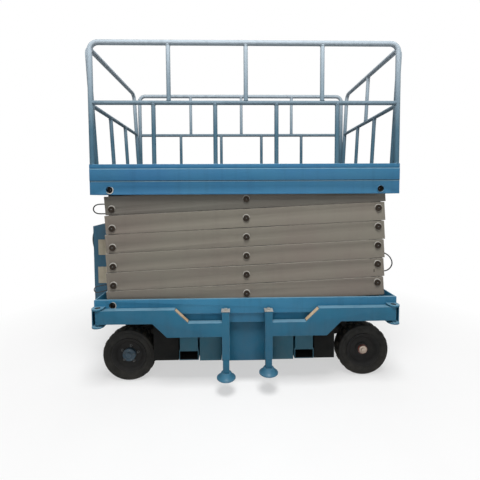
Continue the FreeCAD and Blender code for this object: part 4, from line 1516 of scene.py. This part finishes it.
@dataclass
class Chassis:
    """Side rails, end plates, axles, corner brackets and the boxes under the belly."""

    layout: Layout
    hole: float = 0.031
    collar: float = 0.008
    # the painted shade in the recess around each hinge pin's head
    recess: float = 0.0245
    recess_z: Pair = (0.845, 0.8552)
    # distances from the middle of the mast
    tray_end: float = 0.875
    tray_reach: float = 0.040
    housing: float = 0.2475
    boxes: float = 0.660
    pocket_x: Pair = (0.482, 0.660)
    pocket_z: Pair = (0.278, 0.362)
    axle_cap: float = 0.004
    bevel: float = 0.0015
    box_bevel: float = 0.003
    pocket_bevel: float = 0.002
    # node, how far its edges are rounded
    blue: tuple[tuple[str, float], ...] = (
        ("side_rails", 0.002), ("cross_beams", 0.002), ("arm_seats", 0.0015),
    )
    # node, finish of its outer ends
    hubs: tuple[tuple[str, Finish], ...] = (
        ("drive_axle", Finishes.HUB),
        ("knuckle_near", Finishes.BRONZE),
        ("knuckle_far", Finishes.BRONZE),
    )

    def build(self) -> None:
        """Dresses the chassis."""
        for node, bevel in self.blue:
            Bench.softened(node, bevel, Finishes.CHASSIS, "chassis_paint")
        x0 = self.layout.centre_x
        hinge = joint_place("outrigger_swing_near_left")
        out, aside = abs(hinge.x - x0), abs(hinge.y)
        piece = Bench.softened("outrigger_brackets", self.bevel, Finishes.OUTRIGGER,
                               "chassis_paint")
        # painted shade in the recess around each hinge pin's head
        Bench.repaint(piece, Finishes.HOLE_SHADE_AND_BACKING, lambda c, n: (
            self.recess_z[0] < c.z < self.recess_z[1]
            and math.hypot(abs(c.x - x0) - out, abs(c.y) - aside) < self.recess))
        # near-black axles: black parts, darkened as painted shade under the machine
        Finishes.UNDERSIDE_BLACK_SHADE.on(frame["nodes"]["steer_axle"])
        for node, finish in self.hubs:
            reach = max(abs(corner.y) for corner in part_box(node)) - self.axle_cap
            piece = Bench.softened(node, self.bevel, Finishes.UNDERSIDE_BLACK_SHADE, "chassis_paint")
            Bench.repaint(piece, finish, lambda c, n: abs(c.y) > reach)
        self.belly()
        self.pockets()
        hole = Vector((x0 - self.layout.half_span, -self.layout.side_face, self.layout.pin_low))
        near = bright_side_collar(hole, self.hole, self.collar, X, Finishes.CHASSIS, Finishes.WASHER)
        piece = Bench.both_sides(near)
        Bench.fit(piece, "rail_hole_collars", "chassis", None, "pin_steel")

    def belly(self) -> None:
        """Paints the middle housing blue, the boxes beside it a darker teal as painted shade of the
        beams over them, and the trays near-black, black boxes darkened as painted shade.
        """
        x0 = self.layout.centre_x

        def reach(piece: Piece) -> None:
            """Draws the left tray out to the fixed wheels, so that its near-black stands as painted
            shade up to them.

            Args:
                piece: The boxes, open in edit mode.
            """
            bpy.ops.mesh.select_mode(type="VERT")
            Bench.pick_verts(piece, lambda co: co.x - x0 < -self.tray_end)
            bpy.ops.transform.translate(value=(-self.tray_reach, 0, 0))

        piece = Bench.softened("power_box", self.box_bevel, Finishes.CHASSIS, "chassis_paint",
                               reshape=reach)
        Bench.repaint(piece, Finishes.OUTRIGGER, lambda c, n: abs(c.x - x0) < self.housing)
        # the side boxes in the darker teal, painted shade of the low beams over them
        Bench.repaint(piece, Finishes.BOX_TEAL_SHADE, lambda c, n: self.housing < abs(c.x - x0))
        Bench.repaint(piece, Finishes.UNDERSIDE_BLACK_SHADE, lambda c, n: self.boxes < abs(c.x - x0))

    def pockets(self) -> None:
        """Paints the fork pockets' insides near-black, as painted shade."""
        piece = Bench.softened("fork_pockets", self.pocket_bevel, Finishes.BOX_TEAL_SHADE,
                               "chassis_paint")
        x0 = self.layout.centre_x
        Bench.repaint(piece, Finishes.UNDERSIDE_BLACK_SHADE, lambda c, n: (
            abs(n.y) < 0.5 and self.pocket_x[0] < abs(c.x - x0) < self.pocket_x[1]
            and self.pocket_z[0] < c.z < self.pocket_z[1]))


@dataclass
class Wheels:
    """Four pneumatic wheels: two on the fixed axle, two on the steering knuckles."""

    radius: float = 0.27
    lugs: int = 22
    sides: int = 66
    # a lug's two ends across the tread, the radius of its root, and the cut across it
    lug_y: Pair = (0.003, 0.073)
    lug_root: float = 0.238
    lug_cut: float = 0.05
    # how far its corners stay under the tyre's radius, and how far they are rounded
    lug_under: float = 0.001
    lug_bevel: float = 0.0025
    # past which distance across the tread it drops, and by how much
    lug_drops: tuple[Pair, ...] = ((0.052, 0.010), (0.0705, 0.004))
    # up to which distance it is narrowed, and to what share of its width
    lug_inner: float = 0.03
    lug_taper: float = 0.72
    # half a tyre's section, as radius and distance from its middle
    tyre_half: Profile = (
        (0.174, 0.0655), (0.181, 0.0715), (0.1915, 0.0735), (0.193, 0.0755), (0.205, 0.0775),
        (0.222, 0.0785), (0.2235, 0.0800), (0.2275, 0.0800), (0.229, 0.0780),
        (0.245, 0.0775), (0.2570, 0.0740), (0.2640, 0.0620), (0.2655, 0.0250),
    )
    rim_sides: int = 60
    dish: Profile = (
        (0.0222, 0.046), (0.052, 0.046), (0.060, 0.040), (0.072, 0.034), (0.094, 0.034),
        (0.108, 0.028), (0.122, 0.030), (0.136, 0.044), (0.146, 0.058), (0.158, 0.0655),
        (0.167, 0.0720), (0.1735, 0.0745), (0.1765, 0.0710), (0.1715, 0.0640), (0.168, 0.055),
        (0.150, 0.030), (0.150, -0.030), (0.168, -0.055), (0.1715, -0.064), (0.1765, -0.071),
        (0.1735, -0.0745), (0.165, -0.069), (0.160, -0.055), (0.143, -0.028), (0.120, 0.020),
        (0.094, 0.025), (0.0222, 0.025),
    )
    hub_sides: int = 40
    hub: Profile = (
        (0.066, 0.030), (0.066, 0.066), (0.062, 0.0705), (0.044, 0.0725), (0.040, 0.0700),
        (0.030, 0.0700), (0.027, 0.0765), (0.010, 0.0790),
    )
    bolts: int = 5
    bolts_turn: float = math.radians(8)
    # distance from the wheel's axis, profile, sides
    bolt_parts: tuple[tuple[float, Profile, int], ...] = (
        (0.084, ((0.0145, 0.032), (0.0145, 0.036), (0.0105, 0.037), (0.0105, 0.047),
                 (0.0085, 0.049)), 6),
        (0.084, ((0.0052, 0.040), (0.0052, 0.055), (0.004, 0.0565)), 12),
        (0.052, ((0.0055, 0.068), (0.0055, 0.0745), (0.004, 0.0755)), 6),
    )
    cap_seat: Profile = ((0.070, 0.030), (0.070, 0.044), (0.064, 0.050), (0.050, 0.052))
    cap_ring: Profile = (
        (0.0445, 0.050), (0.0495, 0.050), (0.0495, 0.0605), (0.0475, 0.0625), (0.0445, 0.0625),
    )
    cap: Profile = (
        (0.0435, 0.050), (0.0435, 0.066), (0.041, 0.0705), (0.036, 0.0730), (0.022, 0.0740),
        (0.020, 0.0700), (0.014, 0.0700), (0.012, 0.0785), (0.005, 0.0795),
    )

    def build(self) -> None:
        """Models one tyre and the two kinds of rim, and copies them round."""
        for end in ("left", "right"):
            low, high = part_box(f"tyre_near_{end}")
            centre = (low + high) / 2
            tyre = self.tyre(centre)
            rim = self.rim(centre, end == "left")
            for part, piece, slot in (("tyre", tyre, "tyre"), ("rim", rim, "rim_paint")):
                far = Bench.mirrored(piece, Across.SIDES)
                for side, found in (("near", piece), ("far", far)):
                    corner = f"{side}_{end}"
                    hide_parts(f"{part}_{corner}")
                    Bench.fit(found, f"{part}_shape_{corner}", f"wheel_{corner}", None, slot)

    def tyre(self, centre: Vector) -> Piece:
        """Models a tyre with two staggered rows of slanted lugs.

        Args:
            centre: The wheel's centre.

        Returns:
            The tyre.
        """
        near_half = [(r, -w) for r, w in self.tyre_half]
        carcass = Bench.ring(centre, Y, near_half + list(reversed(self.tyre_half)), self.sides)
        pitch = 2 * math.pi / self.lugs
        width = 2 * self.radius * math.sin(pitch / 4)
        parts = [Finishes.TYRE.on(carcass)]
        for row, phase in ((-1, 0.25), (1, 0.75)):
            lug = Finishes.TREAD.on(self.lug(centre, row, width))
            for n in range(self.lugs):
                parts.append(Bench.turn(Bench.copy_of(lug), centre, Y, (n + phase) * pitch))
            bpy.data.objects.remove(lug)
        return Bench.join(parts)

    def lug(self, centre: Vector, row: int, width: float) -> Piece:
        """Shapes one tread lug over the wheel's centre.

        Args:
            centre: The wheel's centre.
            row: -1 for the near row, 1 for the far row.
            width: Its width along the tread.

        Returns:
            The lug.
        """
        top = math.sqrt(self.radius ** 2 - (width / 2 + self.lug_under) ** 2)
        y0, y1 = sorted(row * y for y in self.lug_y)
        low = centre + Vector((-width / 2, y0, self.lug_root))
        high = centre + Vector((width / 2, y1, top))
        piece = Bench.block(low, high, self.lug_bevel, 1)
        Bench.open(piece, "EDGE", "SELECT")
        bpy.ops.mesh.bisect(plane_co=centre + Y * row * self.lug_cut, plane_no=(0, 1, 0))
        bpy.ops.mesh.select_mode(type="VERT")
        for reach, drop in self.lug_drops:
            Bench.pick_verts(piece, lambda co: row * (co.y - centre.y) > reach)
            bpy.ops.transform.translate(value=(0, 0, -drop))
        Bench.pick_verts(piece, lambda co: row * (co.y - centre.y) < self.lug_inner)
        bpy.ops.transform.resize(value=(self.lug_taper, 1, 1), center_override=centre)
        return Bench.close(piece, outward=True)

    def rim(self, centre: Vector, fixed: bool) -> Piece:
        """Models a rim, with a blue bolted hub or a bronze bearing cap.

        Args:
            centre: The wheel's centre.
            fixed: Whether it is a wheel of the fixed axle.

        Returns:
            The rim.
        """
        dish = Bench.ring(centre, -Y, self.dish, self.rim_sides)
        hub = self.bolted_hub(centre) if fixed else self.bearing_cap(centre)
        return Bench.join([Finishes.RIM.on(dish), *hub])

    def bolted_hub(self, centre: Vector) -> list[Piece]:
        """Models the fixed axle's hub disc with its five wheel nuts.

        Args:
            centre: The wheel's centre.

        Returns:
            The hub's parts.
        """
        parts = [Finishes.HUB.on(Bench.turned(centre, -Y, self.hub, self.hub_sides))]
        for n in range(self.bolts):
            angle = self.bolts_turn + 2 * math.pi * n / self.bolts
            for out, profile, sides in self.bolt_parts:
                bolt = Bench.turned(centre + Z * out, -Y, profile, sides)
                parts.append(Finishes.NUT.on(Bench.turn(bolt, centre, Y, angle)))
        return parts

    def bearing_cap(self, centre: Vector) -> list[Piece]:
        """Models the steered wheel's bearing cap with its red ring.

        Args:
            centre: The wheel's centre.

        Returns:
            The cap's parts.
        """
        seat = Bench.turned(centre, -Y, self.cap_seat, self.hub_sides)
        red = Bench.ring(centre, -Y, self.cap_ring, self.hub_sides)
        cap = Bench.turned(centre, -Y, self.cap, self.hub_sides)
        return [Finishes.RIM.on(seat), Finishes.RED.on(red), Finishes.BRONZE.on(cap)]


@dataclass
class Outriggers:
    """Four swing-out beams with their legs, feet and reflective tape."""

    layout: Layout
    beam_bevel: float = 0.007
    beam_steps: int = 3
    leg_top: float = 0.818
    post_half: float = 0.030
    post_foot: float = 0.010
    post_bevel: float = 0.004
    foot_sides: int = 48
    foot: Profile = (
        (0.086, 0.0), (0.0895, 0.003), (0.0895, 0.0095), (0.0865, 0.012), (0.0825, 0.0125),
        (0.080, 0.014), (0.064, 0.030), (0.0475, 0.0555), (0.0455, 0.0565), (0.040, 0.0570),
    )
    flange_low: Point = (-0.040, -0.0395, -0.004)
    flange_high: Point = (0.040, 0.0395, 0.0035)
    flange_bevel: float = 0.0015
    bolt_head: Profile = (
        (0.022, 0.003), (0.022, 0.0125), (0.0165, 0.0135), (0.0165, 0.020), (0.014, 0.0225),
        (0.006, 0.0225),
    )
    # how wide the beam's face is, how far it starts inside the beam's box, and the tape's edges
    beam_width: float = 0.074
    face_inset: float = 0.004
    tape_sunk: float = 0.001
    tape_bevel: float = 0.0005
    # inset from the slanted face's ends and sides, how proud, finish
    tape_sheets: tuple[tuple[float, float, Finish], ...] = (
        (0.008, 0.0012, Finishes.HOLE_SHADE_AND_BACKING), (0.012, 0.0022, Finishes.TAPE),
    )
    # the slanted face's ends, counted from the hinge, and its drop
    slant_x: Pair = (0.710, 0.843)
    slant_drop: float = 0.128
    # corner, far, right
    corners: tuple[tuple[str, bool, bool], ...] = (
        ("near_left", False, False), ("near_right", False, True),
        ("far_left", True, False), ("far_right", True, True),
    )

    def build(self) -> None:
        """Dresses the near left outrigger and mirrors it to the other corners."""
        leg, tape, bolt = self.leg(), self.tape(), self.leg_bolt()
        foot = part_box("jack_near_left")[0].z
        for corner, far, right in self.corners:
            arm, jack = f"outrigger_{corner}", f"jack_{corner}"
            Bench.softened(arm, self.beam_bevel, Finishes.OUTRIGGER, "chassis_paint",
                           self.beam_steps)
            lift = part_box(jack)[0].z - foot
            # name, piece, how far up, body, finish, slot, node that it stands for
            table = [
                (f"{jack}_leg", leg, lift, jack, Finishes.JACK, "chassis_paint", jack),
                (f"{arm}_tape", tape, 0.0, arm, None, "chassis_paint", None),
                (f"{arm}_leg_bolt", bolt, 0.0, arm, None, "pin_steel", None),
            ]
            for name, source, up, body, finish, slot, node in table:
                piece = Bench.shift(Bench.copy_of(source), Z * up)
                for wanted, across in ((far, Across.SIDES), (right, Across.ENDS)):
                    if wanted:
                        turned = Bench.mirrored(piece, across, self.layout.centre_x)
                        bpy.data.objects.remove(piece)
                        piece = turned
                if node:
                    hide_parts(node)
                Bench.fit(piece, name, body, finish, slot, Smooth.PLATE)
        for source in (leg, tape, bolt):
            bpy.data.objects.remove(source)

    def leg(self) -> Piece:
        """Models the near left leg and its round foot.

        Returns:
            The leg.
        """
        low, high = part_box("jack_near_left")
        centre = Vector(((low.x + high.x) / 2, (low.y + high.y) / 2, low.z))
        half = self.post_half
        post = Bench.block(centre + Vector((-half, -half, self.post_foot)),
                           Vector((centre.x + half, centre.y + half, high.z)), self.post_bevel)
        foot = Bench.turned(centre, Z, self.foot, self.foot_sides)
        return Bench.join([post, foot])

    def tape(self) -> Piece:
        """Lays the amber tape on the slanted end face of the near left beam.

        Returns:
            The tape on its dark backing.
        """
        low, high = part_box("outrigger_near_left")
        root = joint_place("outrigger_swing_near_left")
        x0, x1 = (root.x + x for x in self.slant_x)
        run = Vector((x1 - x0, 0, -self.slant_drop))
        parts = []
        for inset, proud, finish in self.tape_sheets:
            first = (inset, low.y + inset - self.face_inset, -self.tape_sunk)
            last = (run.length - inset, low.y + self.beam_width - inset, proud)
            parts.append(finish.on(Bench.block(first, last, self.tape_bevel, 1)))
        sheet = Bench.join(parts)
        Bench.turn(sheet, Vector(), Y, math.atan2(self.slant_drop, x1 - x0))
        return Bench.shift(sheet, Vector((x0, 0, high.z)))

    def leg_bolt(self) -> Piece:
        """Models the flange and bright bolt head on top of the near left leg.

        Returns:
            The flange and bolt.
        """
        low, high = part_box("jack_near_left")
        centre = Vector(((low.x + high.x) / 2, (low.y + high.y) / 2, self.leg_top))
        flange = Bench.block(centre + Vector(self.flange_low), centre + Vector(self.flange_high),
                             self.flange_bevel)
        head = Bench.turned(centre, Z, self.bolt_head, 6)
        return Bench.join([Finishes.WASHER.on(flange), Finishes.BOLT.on(head)])


@dataclass
class Cabinet:
    """The control cabinet on the left end."""

    layout: Layout
    half: float = 0.300
    bevel: float = 0.005
    # how far the plates stand out of the cabinet's side, and how far they reach into it
    plate_depth: Pair = (0.003, 0.001)
    plate_inset: float = 0.020
    plate_bevel: float = 0.001
    # left edge from the middle of the mast, bottom and top
    plates: tuple[Point, ...] = ((-1.607, 0.943, 1.124), (-1.599, 1.255, 1.424))

    def build(self) -> None:
        """Dresses the cabinet and its blank side plates."""
        Bench.softened("control_cabinet", self.bevel, Finishes.CABINET, "chassis_paint")
        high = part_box("control_cabinet")[1]
        out, back = self.plate_depth
        parts = []
        for x, z0, z1 in self.plates:
            first = (self.layout.centre_x + x, -self.half - out, z0)
            last = (high.x - self.plate_inset, -self.half + back, z1)
            parts.append(Bench.block(first, last, self.plate_bevel))
        piece = Bench.join(parts)
        Bench.fit(piece, "cabinet_blank_plates", "chassis", Finishes.PLATE, "chassis_paint")


def main() -> None:
    """Builds the studio and every sub-assembly, in order."""
    logging.basicConfig(level=logging.INFO, format="%(name)s: %(message)s")
    layout = Layout.read()
    Studio(layout).build()
    for assembly in (
        Hoses(layout), ScissorStack(layout), LiftCylinders(), Platform(layout), GuardRails(layout),
        Chassis(layout), Cabinet(layout), Outriggers(layout), Wheels(),
    ):
        assembly.build()
        log.info("%s is done", type(assembly).__name__)


if __name__ == "__main__":
    main()
